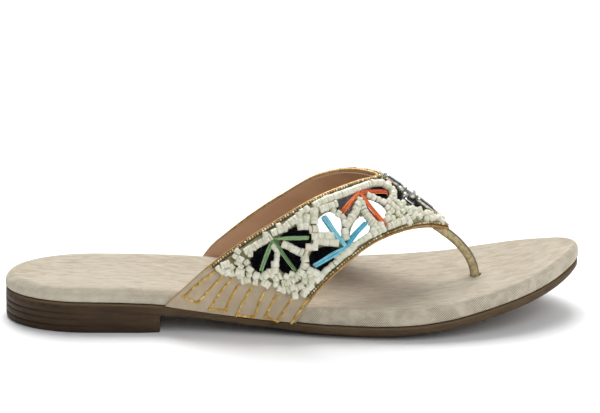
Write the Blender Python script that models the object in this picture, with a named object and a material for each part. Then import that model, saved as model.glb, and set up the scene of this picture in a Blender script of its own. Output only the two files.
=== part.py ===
"""Right thong sandal: low stacked heel, wrapped footbed and a beaded V strap on a toe post.

Blender 4.5, run with blender --background --python part.py or from the text editor.
Tables and sizes are in millimetres from the heel end of the footbed, +X to the toe,
+Y to the inner side of the foot, +Z up from the floor. world() turns them into metres
about the origin, which is the middle of the shoe's box on the floor.
"""
import math
from collections import namedtuple

import bmesh
import bpy
import numpy as np
from mathutils import Vector

# ---------------------------------------------------------------- driving dimensions (mm)
LENGTH = 256.0          # footbed, heel end to toe tip
GAP = 0.3               # air between pieces that touch on the real shoe
MM = 0.001

STATIONS = 40           # stations along the sole, closer together at its ends
HEEL_ROUND = 38.0       # length of the half ellipse that ends the heel
TOE_ROUND = 34.0        # length of the half ellipse that ends the toe
BREAST = 70.6           # front face of the heel
LEDGE_SIDE = 1.0        # outsole stands this far outside the footbed along the sides
LEDGE_END = -0.4        # and this far inside it at the heel end and the toe tip
EDGE_BREAK = 0.5        # small chamfer on sole and heel edges
BELLY_INSET = 7.0       # width of the rounded border of the outsole's underside
BELLY_HALFWAY = 0.7     # share of the belly's drop reached halfway in
DISH = 1.2              # hollow of the footbed's top
BED_COLUMNS = 5         # lines along the footbed's hollow
FULL_DISH = 50.0        # width at which the hollow has its whole depth
HEEL_INSET = 0.3        # heel's side inside the outsole's rim
LIFT_TOP = 2.95         # top of the heel's bottom lift
LIFT_INSET = 0.15       # foot of the lift inside its top
LIFT_ROUND = 0.7        # rounded lower edge of the lift
GROOVE_Z = 6.2          # groove round the heel stack
GROOVE_DEEP = 0.5
GROOVE_HALF = 0.4       # half the groove's height

WALL = 2.2              # strap with its lining
WALL_BASE = 1.4         # strap where it is skived to go under the footbed
SKIVE = 0.1             # share of the strap's run over which it thins
STRAP_STEPS = 40        # along the strap
STRAP_COLUMNS = 6       # across it
PIPING_WIDE = {"rear": 1.0, "front": 0.7}   # edge binding, seen from outside
PIPING_PROUD = 0.15     # binding above the strap's face
PIPING_UNDER = 0.1      # and below its lining
CHAIN_WIDE = {"rear": 1.9, "front": 1.4}
CHAIN_HIGH = 1.3
CORE_Y, CORE_Z = 4.0, 20.0   # line inside the foot that the strap swells away from

BEAD_END = 0.106        # where the bead field starts at the rear edge, along the strap
BEAD_SLANT = 0.042      # how much nearer to the base it starts at the front edge
BEAD_ROWS = 32
BEAD_COLUMNS = 4
BEAD_TOP = 2.4          # top of the bead field above the strap's face
BEAD_CLEAR = 0.4        # air round the mirrors and jewels in the bead field
GUIDE_OVER = 1.0        # cutting guides stand this far above the bead field
OPEN_FROM = 0.35        # share of a petal's length from which its outline shapes its opening
KNOT_STEP = 50.0        # degrees between points round a knot, at most
INNER_SCALE = 0.93      # motifs on the inner wing against those on the outer wing
MIRROR_THICK = 0.6
PETAL_SWELL = 0.77      # widest value of the petal's profile
RAFFIA_LOW = 1.7        # raffia above the strap's face, over the mirrors
RAFFIA_THICK = 0.6
KNOT_RADIUS = 1.8
KNOT_OPEN = 2.6         # radius of the opening round a knot
SETTING_THICK = 0.6
STONE_HIGH = 0.5        # a stone's height, and what it gains with its width
STONE_SLOPE = 0.28
STONE_CORNER = 0.5      # cut corner of a long stone
CROWN_SCALE = 0.62      # table of a cut stone against its girdle
HOLE_CLEAR = 0.4        # air round the toe post in the footbed
HOLE_HIGH = 12.0        # length of the guide that cuts its hole

# A section of the sole: half = half width before the ends are rounded, centre = how far the
# middle line swings to the inner side, seam = height of the footbed's lower edge, edge =
# thickness of the outsole's side, belly = how far the underside hangs below that side,
# bed = thickness of the footbed, rounding = radius of the footbed's top edge.
Section = namedtuple("Section", "x half centre seam edge belly bed rounding")
SOLE = [
    Section(0.0, 27.1, 0.0, 13.8, 3.8, 0.0, 6.1, 4.0),
    Section(42.0, 27.1, 0.0, 13.7, 3.8, 0.0, 6.3, 4.0),
    Section(66.0, 27.3, 0.1, 13.0, 5.0, 0.0, 6.4, 3.8),
    Section(74.0, 27.7, 0.2, 12.5, 5.0, 0.0, 6.5, 3.6),
    Section(87.0, 28.6, 0.5, 10.8, 3.6, 0.0, 6.8, 3.2),
    Section(109.0, 30.3, 0.4, 8.0, 3.7, 0.4, 7.3, 2.4),
    Section(130.0, 33.4, 0.4, 6.8, 3.7, 2.1, 7.8, 1.8),
    Section(140.0, 35.2, 0.5, 6.2, 3.7, 2.5, 8.0, 1.6),
    Section(164.0, 38.6, 0.7, 6.2, 3.7, 2.5, 8.2, 1.6),
    Section(176.0, 39.5, 1.0, 6.5, 3.7, 2.3, 8.0, 1.6),
    Section(186.0, 39.6, 1.7, 7.2, 3.8, 1.8, 7.8, 1.6),
    Section(195.0, 38.9, 2.6, 8.2, 4.0, 1.2, 7.5, 1.6),
    Section(204.0, 37.6, 3.8, 9.6, 4.1, 0.7, 7.3, 1.6),
    Section(213.0, 35.8, 5.3, 11.4, 4.2, 0.3, 7.2, 1.7),
    Section(222.0, 33.2, 6.8, 13.2, 4.2, 0.0, 7.1, 1.8),
    Section(239.0, 28.2, 9.7, 17.0, 4.2, 0.0, 7.1, 2.0),
    Section(248.0, 25.2, 11.2, 19.7, 4.1, 0.0, 7.1, 2.2),
    Section(256.0, 22.6, 12.6, 23.0, 3.9, 0.0, 5.9, 2.2),
]

# A fold line across the strap, from its rear edge to its front edge. at runs from the outer
# base over the ridge (0.5) to the inner base; bulge is the swell between the edges. Where y
# is None the strap stands against the footbed's side, and where z is None it starts just
# above the seam of footbed and outsole.
Fold = namedtuple("Fold", "at rear_x rear_y rear_z front_x front_y front_z bulge")
STRAP = [
    Fold(0.000, 72.0, None, None, 129.6, None, None, None),
    Fold(0.038, 78.6, None, 19.6, 134.2, None, 15.0, None),
    Fold(0.100, 90.0, -28.9, 30.4, 140.3, -33.6, 22.6, 1.0),
    Fold(0.175, 103.8, -26.4, 40.4, 150.7, -29.2, 31.3, 2.0),
    Fold(0.250, 118.4, -23.7, 49.2, 161.9, -23.8, 38.8, 2.5),
    Fold(0.350, 138.4, -16.9, 59.4, 176.7, -13.3, 42.2, 2.8),
    Fold(0.435, 155.4, -6.8, 63.4, 188.8, -3.2, 41.3, 2.2),
    Fold(0.500, 165.3, 4.5, 63.2, 197.8, 4.5, 38.0, 1.0),
    Fold(0.565, 155.4, 14.0, 62.8, 189.3, 11.0, 40.0, 2.2),
    Fold(0.650, 140.0, 21.5, 58.0, 179.0, 18.0, 40.8, 2.8),
    Fold(0.750, 122.9, 26.8, 46.8, 166.5, 27.0, 36.5, 2.5),
    Fold(0.825, 110.6, 29.3, 37.8, 158.0, 32.2, 31.0, 2.0),
    Fold(0.900, 98.5, 31.2, 27.7, 149.0, 35.8, 23.0, 1.0),
    Fold(0.962, 89.8, None, 19.6, 142.6, None, 15.0, None),
    Fold(1.000, 84.0, None, None, 137.0, None, None, None),
]

# The toe post's middle line from its lap under the strap's tip down into the footbed:
# deep = size fore and aft, wide = size across the foot.
Post = namedtuple("Post", "x y z deep wide")
TOE_POST = [
    Post(190.6, 4.5, 38.6, 1.5, 4.6),
    Post(194.6, 4.5, 34.0, 1.8, 5.0),
    Post(199.2, 4.3, 31.1, 3.0, 5.4),
    Post(203.8, 3.8, 28.6, 4.6, 4.6),
    Post(207.6, 3.2, 23.6, 4.6, 4.4),
    Post(209.4, 2.8, 18.6, 4.5, 4.4),
    Post(209.7, 2.6, 13.4, 4.5, 4.4),
]

# A petal of a motif and the raffia strand laid over it. Angles are on the strap's face from
# the direction along it toward the ridge, turning to its front edge; near = distance of the
# petal's point from the knot, reach = length of the strand. at and at_inner are the knot's
# places along the outer wing and the shorter inner wing.
Petal = namedtuple("Petal", "name angle near length width glass strand_angle reach")
Motif = namedtuple("Motif", "name at at_inner across strand petals")
MOTIFS = [
    Motif("green", 0.207, 0.815, 0.222, 1.4, [
        Petal("top", 30.0, 1.6, 14.8, 8.8, "smoke", 32.0, 15.6),
        Petal("low", 156.2, 1.8, 14.0, 8.8, "smoke", 153.0, 15.0),
        Petal("mid", 93.0, 2.0, 14.0, 9.8, "smoke", 94.7, 15.2),
    ]),
    Motif("blue", 0.227, 0.792, 0.836, 1.8, [
        Petal("top", -91.1, 3.4, 16.0, 8.6, "silver", -92.6, 18.4),
        Petal("low", -171.0, 1.8, 15.0, 8.0, "smoke", -171.4, 16.0),
        Petal("mid", -15.0, 2.2, 14.4, 8.2, "silver", -19.0, 15.2),
    ]),
    Motif("orange", 0.396, 0.593, 0.254, 1.6, [
        Petal("low", 163.7, 1.6, 12.1, 6.7, "smoke", 160.0, 12.9),
        Petal("mid", 76.5, 3.4, 11.6, 6.2, "silver", 80.5, 14.0),
        Petal("top", 13.9, 3.4, 12.0, 5.6, "smoke", 15.5, 14.4),
    ]),
]

# The jewel setting over the ridge: across = place down the ridge, half = how far it reaches
# along the strap to each side.
Arm = namedtuple("Arm", "across half")
SETTING = [
    Arm(0.136, 0.009), Arm(0.185, 0.015), Arm(0.260, 0.019), Arm(0.380, 0.034),
    Arm(0.500, 0.058), Arm(0.665, 0.061), Arm(0.730, 0.028), Arm(0.800, 0.012),
]

# Stones on the setting: off = distance from the ridge along the strap; a round one has no length.
Stone = namedtuple("Stone", "name off across width length")
STONES = [
    Stone("centre", 0.000, 0.440, 5.8, None),
    Stone("baguette_rear", 0.000, 0.222, 3.2, 7.0),
    Stone("baguette_front", 0.000, 0.635, 3.4, 9.0),
    Stone("bar_outer", -0.047, 0.590, 2.6, 5.6),
    Stone("bar_inner", 0.045, 0.590, 2.6, 5.6),
    Stone("round_outer_rear", -0.016, 0.325, 2.4, None),
    Stone("round_inner_rear", 0.016, 0.325, 2.4, None),
    Stone("round_outer", -0.028, 0.440, 2.2, None),
    Stone("round_inner", 0.026, 0.435, 2.2, None),
    Stone("end", 0.000, 0.765, 1.8, None),
]


# ---------------------------------------------------------------- curves
def slopes(xs, ys, monotone):
    """Slopes of a cubic through rows; a monotone one never swings past its rows."""
    run = np.diff(xs)
    rise = np.diff(ys, axis=0) / run.reshape((-1,) + (1,) * (ys.ndim - 1))
    found = np.empty_like(ys)
    found[0], found[-1] = rise[0], rise[-1]
    for i in range(1, len(xs) - 1):
        before, after = rise[i - 1], rise[i]
        if monotone:
            if before * after <= 0:
                found[i] = 0
            else:
                w1, w2 = 2 * run[i] + run[i - 1], run[i] + 2 * run[i - 1]
                found[i] = (w1 + w2) / (w1 / before + w2 / after)
        else:
            found[i] = (before * run[i] + after * run[i - 1]) / (run[i] + run[i - 1])
    return found


class Curve:
    """A smooth curve through the rows of a table."""

    def __init__(self, xs, ys, monotone=False):
        self.xs = np.array(xs, float)
        self.ys = np.array(ys, float)
        self.slopes = slopes(self.xs, self.ys, monotone)

    def __call__(self, x):
        xs = self.xs
        i = int(min(max(np.searchsorted(xs, x) - 1, 0), len(xs) - 2))
        run = xs[i + 1] - xs[i]
        t = (x - xs[i]) / run
        if t < 0 or t > 1:
            end = 0 if t < 0 else len(xs) - 1
            return self.ys[end] + self.slopes[end] * (x - xs[end])
        a, b = self.ys[i], self.ys[i + 1]
        m, n = self.slopes[i] * run, self.slopes[i + 1] * run
        return (a * (2 * t**3 - 3 * t**2 + 1) + b * (3 * t**2 - 2 * t**3)
                + m * (t**3 - 2 * t**2 + t) + n * (t**3 - t**2))


SOLE_X = [row.x for row in SOLE]
sole_at = {
    name: Curve(SOLE_X, [getattr(row, name) for row in SOLE], monotone=True)
    for name in Section._fields[1:]
}


# ---------------------------------------------------------------- sole outline
def half_width(x):
    """Half width of the footbed, with an elliptical heel end and toe end."""
    width = sole_at["half"](x)
    if x < HEEL_ROUND:
        width *= math.sqrt(max(0.0, 1 - ((HEEL_ROUND - x) / HEEL_ROUND) ** 2))
    toe_start = LENGTH - TOE_ROUND
    if x > toe_start:
        width *= math.sqrt(max(0.0, 1 - ((x - toe_start) / TOE_ROUND) ** 2))
    return width


def side_y(x, side):
    """Footbed edge at x: side -1 is the outer side of the foot, +1 the inner."""
    return sole_at["centre"](x) + side * half_width(x)


def stations(last=LENGTH):
    """Stations from the heel end, close together where the outline turns."""
    full = [LENGTH / 2 * (1 - math.cos(math.pi * i / STATIONS)) for i in range(STATIONS + 1)]
    if last >= LENGTH:
        return full
    return [x for x in full if x < last - 2.0] + [last]


def outline(xs):
    """Loop of plan points: heel end, outer side to the front, inner side back."""
    outer = [(x, side_y(x, -1)) for x in xs[1:]]
    inner = [(x, side_y(x, 1)) for x in reversed(xs[1:])]
    if xs[-1] >= LENGTH:
        inner = inner[1:]
    return np.array([(xs[0], sole_at["centre"](xs[0]))] + outer + inner)


def outward(loop):
    """Unit normals of a plan loop, pointing out."""
    along = np.roll(loop, -1, axis=0) - np.roll(loop, 1, axis=0)
    along /= np.linalg.norm(along, axis=1)[:, None]
    return np.stack([along[:, 1], -along[:, 0]], axis=1)


def offset(loop, distance):
    """The loop moved out by distance, one value or one for each point."""
    return loop + outward(loop) * np.reshape(distance, (-1, 1))


def sole_rim(xs):
    """Outsole outline: a ledge along the footbed's sides, flush at its ends."""
    loop = outline(xs)
    sideways = np.abs(outward(loop)[:, 1])
    return offset(loop, LEDGE_END + (LEDGE_SIDE - LEDGE_END) * sideways)


MIDDLE_Y = (min(side_y(x, -1) for x in stations()) + max(side_y(x, 1) for x in stations())) / 2


def world(point):
    """Millimetres from the heel end to metres about the origin."""
    x, y, z = point
    return Vector(((x - LENGTH / 2) * MM, (y - MIDDLE_Y) * MM, z * MM))


# ---------------------------------------------------------------- mesh helpers
def material(name, rgb, roughness, metallic=0.0):
    made = bpy.data.materials.new(name)
    made.use_nodes = True
    shader = made.node_tree.nodes["Principled BSDF"]
    shader.inputs["Base Color"].default_value = (*rgb, 1.0)
    shader.inputs["Roughness"].default_value = roughness
    shader.inputs["Metallic"].default_value = metallic
    made.diffuse_color = (*rgb, 1.0)
    return made


def add_object(name, finish, bm, smooth_angle=35.0):
    """Put a bmesh into the scene as one closed body with outward faces."""
    bmesh.ops.recalc_face_normals(bm, faces=bm.faces)
    mesh = bpy.data.meshes.new(name)
    bm.to_mesh(mesh)
    bm.free()
    mesh.materials.append(finish)
    mesh.shade_smooth()
    mesh.set_sharp_from_angle(angle=math.radians(smooth_angle))
    made = bpy.data.objects.new(name, mesh)
    bpy.context.scene.collection.objects.link(made)
    return made


def bridge(bm, lower, upper, closed=True):
    """Quads between two rows of vertices of the same length."""
    count = len(lower)
    for i in range(count if closed else count - 1):
        j = (i + 1) % count
        bm.faces.new((lower[i], lower[j], upper[j], upper[i]))


def cap_sole(bm, ring, columns=0, sag=None):
    """Close a sole ring with strips across it; columns of vertices may sag below the edge."""
    count = len(ring)
    rows = []
    for k in range(1, (count + 1) // 2):
        outer, inner = ring[k], ring[count - k]
        middle = []
        for c in range(1, columns + 1):
            t = c / (columns + 1)
            co = outer.co.lerp(inner.co, t)
            co.z -= sag(t) * min(1.0, (inner.co - outer.co).length / (FULL_DISH * MM)) * MM
            middle.append(bm.verts.new(co))
        rows.append([outer, *middle, inner])
    ends = [(ring[0], rows[0])]
    if count % 2 == 0:
        ends.append((ring[count // 2], rows[-1]))
    for tip, row in ends:
        for a, b in zip(row, row[1:]):
            bm.faces.new((tip, a, b))
    for row, following in zip(rows, rows[1:]):
        bridge(bm, row, following, closed=False)


def sole_solid(name, finish, rings, top_columns=0, top_sag=None):
    """Stack plan rings from bottom to top; each is (plan loop, height for each point)."""
    bm = bmesh.new()
    rows = [[bm.verts.new(world((x, y, z))) for (x, y), z in zip(loop, heights)]
            for loop, heights in rings]
    for lower, upper in zip(rows, rows[1:]):
        bridge(bm, lower, upper)
    cap_sole(bm, rows[0])
    cap_sole(bm, rows[-1], top_columns, top_sag)
    return add_object(name, finish, bm)


def height(name, loop):
    """A column of the sole table along a plan loop."""
    return np.array([sole_at[name](min(max(x, 0.0), LENGTH)) for x in loop[:, 0]])


# ---------------------------------------------------------------- sole pieces
def build_outsole(finish):
    rim = sole_rim(stations())
    break_in = offset(rim, -EDGE_BREAK)
    foot_in = offset(rim, -2 * EDGE_BREAK)
    halfway = offset(rim, -BELLY_INSET / 2)
    floor = offset(rim, -BELLY_INSET)

    def foot(loop):
        return height("seam", loop) - height("edge", loop)

    rings = [
        (floor, foot(floor) - height("belly", floor)),
        (halfway, foot(halfway) - BELLY_HALFWAY * height("belly", halfway)),
        (foot_in, foot(foot_in)),
        (rim, foot(rim) + 2 * EDGE_BREAK),
        (rim, height("seam", rim) - GAP - EDGE_BREAK),
        (break_in, height("seam", break_in) - GAP),
    ]
    return sole_solid("outsole", finish, rings)


def build_heel(finish, lift_finish):
    rim = sole_rim(stations(BREAST))
    side = offset(rim, -HEEL_INSET)
    broken = offset(side, -EDGE_BREAK)
    groove = offset(side, -GROOVE_DEEP)
    foot = offset(side, -LIFT_INSET)
    foot_in = offset(foot, -LIFT_ROUND)
    top = height("seam", side) - height("edge", side) - GAP

    def level(loop, z):
        return np.full(len(loop), z)

    stack = [
        (broken, level(broken, LIFT_TOP + GAP)),
        (side, level(side, LIFT_TOP + GAP + EDGE_BREAK)),
        (side, level(side, GROOVE_Z - GROOVE_HALF)),
        (groove, level(groove, GROOVE_Z)),
        (side, level(side, GROOVE_Z + GROOVE_HALF)),
        (side, top - EDGE_BREAK),
        (broken, top),
    ]
    lift = [
        (foot_in, level(foot_in, 0.0)),
        (foot, level(foot, LIFT_ROUND)),
        (side, level(side, LIFT_TOP - EDGE_BREAK)),
        (broken, level(broken, LIFT_TOP)),
    ]
    return sole_solid("heel_stack", finish, stack), sole_solid("heel_lift", lift_finish, lift)


def build_footbed(finish):
    loop = outline(stations())
    low_in = offset(loop, -EDGE_BREAK)
    rounding = height("rounding", loop)
    top = height("seam", loop) + height("bed", loop)
    rings = [
        (low_in, height("seam", low_in)),
        (loop, height("seam", loop) + EDGE_BREAK),
    ]
    for degrees in (0, 30, 60, 90):
        a = math.radians(degrees)
        ring = offset(loop, -rounding * (1 - math.cos(a)))
        rings.append((ring, top - rounding * (1 - math.sin(a))))
    return sole_solid("footbed", finish, rings, BED_COLUMNS, lambda t: DISH * 4 * t * (1 - t))


def cut(target, cutter):
    """Boolean difference with a guide object that the build leaves out."""
    cutter.hide_render = True
    cutter.display_type = "WIRE"
    modifier = target.modifiers.new("cut_" + cutter.name, "BOOLEAN")
    modifier.operation = "DIFFERENCE"
    modifier.object = cutter


# ---------------------------------------------------------------- strap surface
def wall_at(u):
    """Strap thickness: skived at its two bases."""
    from_base = min(u, 1 - u) / SKIVE
    return WALL_BASE + (WALL - WALL_BASE) * min(1.0, max(0.0, from_base))


def fold_points(fold):
    """Rear point, front point and swell of one fold line."""
    side = -1 if fold.at < 0.5 else 1
    middle_x = (fold.rear_x + fold.front_x) / 2
    if fold.rear_y is None:
        def beside(x, z):
            y = side_y(x, side) + side * (GAP + wall_at(fold.at))
            return np.array([x, y, sole_at["seam"](x) + GAP if z is None else z])

        rear, front = beside(fold.rear_x, fold.rear_z), beside(fold.front_x, fold.front_z)
        middle_z = None if fold.rear_z is None else (fold.rear_z + fold.front_z) / 2
        return rear, front, beside(middle_x, middle_z) - (rear + front) / 2
    rear = np.array([fold.rear_x, fold.rear_y, fold.rear_z])
    front = np.array([fold.front_x, fold.front_y, fold.front_z])
    away = (rear + front) / 2 - np.array([middle_x, CORE_Y, CORE_Z])
    return rear, front, away / np.linalg.norm(away) * fold.bulge


FOLD_AT = [fold.at for fold in STRAP]
rear_curve, front_curve, swell_curve = (
    Curve(FOLD_AT, points) for points in zip(*[fold_points(fold) for fold in STRAP])
)


def strap_face(u, v):
    """Point on the strap's outer face: u along it, v across it from rear (0) to front (1)."""
    rear, front = rear_curve(u), front_curve(u)
    return rear + (front - rear) * v + swell_curve(u) * 4 * v * (1 - v)


def strap_frame(u, v):
    """Point, step for u, step for v and outward normal on the strap's outer face."""
    small = 1e-3
    point = strap_face(u, v)
    along = (strap_face(u + small, v) - strap_face(u - small, v)) / (2 * small)
    across = (strap_face(u, v + small) - strap_face(u, v - small)) / (2 * small)
    normal = np.cross(across, along)
    return point, along, across, normal / np.linalg.norm(normal)


def strap_point(u, v, lift=0.0):
    point, _, _, normal = strap_frame(u, v)
    return point + normal * lift


def slant(u):
    """Sine of the angle between the fold line at u and the strap's run."""
    _, along, across, _ = strap_frame(u, 0.5)
    return np.linalg.norm(np.cross(along, across)) / np.linalg.norm(along) / np.linalg.norm(across)


def edge_v(u, distance, edge):
    """v of a line that runs distance inside the strap's rear or front edge."""
    inset = distance / slant(u) / np.linalg.norm(front_curve(u) - rear_curve(u))
    return inset if edge == "rear" else 1 - inset


def between(u, insets, columns):
    """v of lines evenly spread between the insets from the two edges."""
    low, high = (edge_v(u, insets[edge], edge) for edge in ("rear", "front"))
    return [low + (high - low) * c / columns for c in range(columns + 1)]


def strap_steps(count=STRAP_STEPS, low=0.0, high=1.0):
    return [low + (high - low) * i / count for i in range(count + 1)]


def shell(name, finish, outer, inner):
    """Closed sheet between two grids of points with the same rows and columns."""
    bm = bmesh.new()
    faces = [[[bm.verts.new(world(p)) for p in row] for row in grid] for grid in (outer, inner)]
    for grid in faces:
        for row, following in zip(grid, grid[1:]):
            bridge(bm, row, following, closed=False)
    first, second = faces
    for a, b in ((first[0], second[0]), (first[-1], second[-1])):
        bridge(bm, a, b, closed=False)
    for side in (0, -1):
        bridge(bm, [row[side] for row in first], [row[side] for row in second], closed=False)
    return add_object(name, finish, bm, smooth_angle=50.0)


LEATHER_INSET = {edge: wide + GAP for edge, wide in PIPING_WIDE.items()}
BEAD_INSET = {edge: LEATHER_INSET[edge] + wide + GAP for edge, wide in CHAIN_WIDE.items()}


def build_upper(finish):
    outer, inner = [], []
    for u in strap_steps():
        vs = between(u, LEATHER_INSET, STRAP_COLUMNS)
        outer.append([strap_point(u, v) for v in vs])
        inner.append([strap_point(u, v, -wall_at(u)) for v in vs])
    return shell("upper", finish, outer, inner)


def edge_strip(name, finish, edge, middle, half_wide, low, high, start=0.0, sides=6):
    """A strip along one edge of the strap, middle away from it, between two heights."""
    bm = bmesh.new()
    rings = []
    for u in strap_steps(low=start, high=1 - start):
        point, _, across, normal = strap_frame(u, edge_v(u, middle, edge))
        across = across / np.linalg.norm(across) / slant(u)
        bottom, top = low(u), high(u)
        ring = []
        for s in range(sides):
            a = 2 * math.pi * (s + 0.5) / sides
            reach = across * math.cos(a) * half_wide
            rise = normal * ((bottom + top) / 2 + math.sin(a) * (top - bottom) / 2)
            ring.append(bm.verts.new(world(point + reach + rise)))
        rings.append(ring)
    for ring, following in zip(rings, rings[1:]):
        bridge(bm, ring, following)
    bm.faces.new(rings[0])
    bm.faces.new(rings[-1])
    return add_object(name, finish, bm, smooth_angle=70.0)


def build_edges(piping, chain):
    for edge, start in (("rear", BEAD_END), ("front", BEAD_END - BEAD_SLANT)):
        half = PIPING_WIDE[edge] / 2
        edge_strip("piping_" + edge, piping, edge, half, half,
                   lambda u: -wall_at(u) - PIPING_UNDER, lambda u: PIPING_PROUD)
        half = CHAIN_WIDE[edge] / 2
        edge_strip("chain_" + edge, chain, edge, LEATHER_INSET[edge] + half, half,
                   lambda u: GAP, lambda u: GAP + CHAIN_HIGH, start)


# ---------------------------------------------------------------- ornament on the strap
class Spot:
    """A place on the strap's face with its tangent frame, for laying flat shapes on it.

    p runs along the strap toward its inner base, q across it to the front edge.
    """

    def __init__(self, u, v):
        self.u, self.v = u, v
        self.point, along, across, self.normal = strap_frame(u, v)
        self.p_axis = along / np.linalg.norm(along)
        self.q_axis = np.cross(self.normal, self.p_axis)
        if self.q_axis @ across < 0:
            self.q_axis = -self.q_axis
        steps = np.array([[along @ self.p_axis, across @ self.p_axis],
                          [along @ self.q_axis, across @ self.q_axis]])
        self.to_uv = np.linalg.inv(steps)

    def flat(self, p, q, lift):
        """Point over the plane that touches the strap here."""
        return self.point + self.p_axis * p + self.q_axis * q + self.normal * lift

    def bent(self, p, q, lift):
        """Point over the curved face itself."""
        du, dv = self.to_uv @ np.array([p, q])
        return strap_point(self.u + du, self.v + dv, lift)


def add_plate(bm, points, faces, place, low, high):
    """Thicken a flat pattern of faces between two lifts; place(p, q, lift) gives its points."""
    bottom = [bm.verts.new(world(place(p, q, low))) for p, q in points]
    top = [bm.verts.new(world(place(p, q, high))) for p, q in points]
    uses = {}
    for face in faces:
        bm.faces.new([top[i] for i in face])
        bm.faces.new([bottom[i] for i in reversed(face)])
        for a, b in zip(face, face[1:] + face[:1]):
            key = (min(a, b), max(a, b))
            uses[key] = None if key in uses else (a, b)
    for edge in uses.values():
        if edge:
            a, b = edge
            bm.faces.new((bottom[a], bottom[b], top[b], top[a]))


def turned(points, angle):
    c, s = math.cos(math.radians(angle)), math.sin(math.radians(angle))
    return [(p * c - q * s, p * s + q * c) for p, q in points]


def motif_spots(motif):
    """The motif's knot on the outer wing and, mirrored, on the inner wing."""
    return [("outer", False, Spot(motif.at, motif.across)),
            ("inner", True, Spot(motif.at_inner, motif.across))]


def facing(angle, mirrored):
    return 180 - angle if mirrored else angle


def on_wing(outline, mirrored):
    """A motif's outline at the size it has on its wing."""
    scale = INNER_SCALE if mirrored else 1.0
    return [(p * scale, q * scale) for p, q in outline]


def petal_outline(petal, mirrored, grow=0.0, count=14):
    """Outline of a petal about its knot, pointed at the knot."""
    outline = []
    for k in range(count):
        t = 2 * math.pi * k / count
        swell = math.sin(t) * math.sin(t / 2) / PETAL_SWELL
        along = petal.near + petal.length / 2 - (petal.length / 2 + grow) * math.cos(t)
        outline.append((along, (petal.width / 2 + grow) * swell))
    return turned(outline, facing(petal.angle, mirrored))


def build_mirrors(finishes):
    for motif in MOTIFS:
        for side, mirrored, knot in motif_spots(motif):
            for petal in motif.petals:
                outline = on_wing(petal_outline(petal, mirrored), mirrored)
                middle = tuple(np.mean(outline, axis=0))
                count = len(outline)
                fan = [[k, (k + 1) % count, count] for k in range(count)]
                bm = bmesh.new()
                add_plate(bm, outline + [middle], fan, knot.bent, GAP, GAP + MIRROR_THICK)
                add_object(f"mirror_{motif.name}_{petal.name}_{side}", finishes[petal.glass], bm)


def build_raffia(finishes, segments=3):
    """A knot and its three strands, as one flat star over the mirrors."""
    for motif in MOTIFS:
        for side, mirrored, knot in motif_spots(motif):
            arms = sorted((facing(petal.strand_angle, mirrored) % 360, petal.reach)
                          for petal in motif.petals)
            points, faces, roots = [], [], []
            for angle, reach in arms:
                rows = []
                for i in range(segments + 1):
                    along = KNOT_RADIUS + (reach - KNOT_RADIUS) * i / segments
                    rows.append(len(points))
                    points += turned([(along, -motif.strand / 2), (along, motif.strand / 2)], angle)
                roots += [rows[0], rows[0] + 1]
                faces += [[a, b, b + 1, a + 1] for a, b in zip(rows, rows[1:])]
            bm = bmesh.new()
            add_plate(bm, on_wing(points, mirrored), faces + [roots], knot.bent,
                      RAFFIA_LOW, RAFFIA_LOW + RAFFIA_THICK)
            add_object(f"raffia_{motif.name}_{side}", finishes[motif.name], bm)


def ray_exit(outline, direction):
    """How far a ray from the knot runs before it leaves an outline, 0 if it misses."""
    farthest = 0.0
    for (p0, q0), (p1, q1) in zip(outline, outline[1:] + outline[:1]):
        step = np.array([[direction[0], p0 - p1], [direction[1], q0 - q1]])
        if abs(np.linalg.det(step)) > 1e-9:
            distance, share = np.linalg.solve(step, [p0, q0])
            if -1e-6 <= share <= 1 + 1e-6:
                farthest = max(farthest, distance)
    return farthest


def turn_of(point, angle):
    """Direction of a point seen from the knot, in degrees from an angle."""
    return (math.degrees(math.atan2(point[1], point[0])) - angle + 180) % 360 - 180


def motif_opening(motif, mirrored):
    """Outline of the opening in the bead field round a motif's knot, petals and strands."""
    shapes, angles = [], []
    half = motif.strand / 2 + BEAD_CLEAR
    for petal in motif.petals:
        angle = facing(petal.angle, mirrored)
        outline = petal_outline(petal, mirrored, BEAD_CLEAR)
        inner_end = petal.near + OPEN_FROM * petal.length
        turns = [turn_of(point, angle) for point in outline if math.hypot(*point) > inner_end]
        angles += [angle + turn for turn in (*turns, min(turns) - 1, max(turns) + 1)]
        strand_angle = facing(petal.strand_angle, mirrored)
        channel = turned([(0, -half), (inner_end, -half), (inner_end, half), (0, half)], strand_angle)
        corner = math.degrees(math.asin(half / inner_end))
        foot = math.degrees(math.asin(half / KNOT_OPEN))
        angles += [strand_angle + turn for turn in (-foot, -corner, corner, foot)]
        shapes += [outline, channel]
    angles = sorted(angle % 360 for angle in angles)
    opening = []
    for angle, following in zip(angles, angles[1:] + [angles[0] + 360]):
        parts = math.ceil((following - angle) / KNOT_STEP)
        for i in range(parts):
            a = math.radians(angle + (following - angle) * i / parts)
            direction = (math.cos(a), math.sin(a))
            reach = max(KNOT_OPEN, *(ray_exit(shape, direction) for shape in shapes))
            opening.append((reach * direction[0], reach * direction[1]))
    return opening


def setting_sheet(name, finish, grow, low, high):
    """Sheet over the ridge in the setting's outline, grown by a distance."""
    middle = Spot(0.5, 0.5)
    du, dv = np.abs(middle.to_uv @ np.array([grow, grow]))
    last = len(SETTING) - 1
    grids = []
    for lift in (high, low):
        grid = []
        for i, arm in enumerate(SETTING):
            v = arm.across + (dv if i == last else -dv if i == 0 else 0.0)
            grid.append([strap_point(0.5 + side * (arm.half + du), v, lift)
                         for side in (-1, -0.5, 0, 0.5, 1)])
        grids.append(grid)
    return shell(name, finish, *grids)


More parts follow.
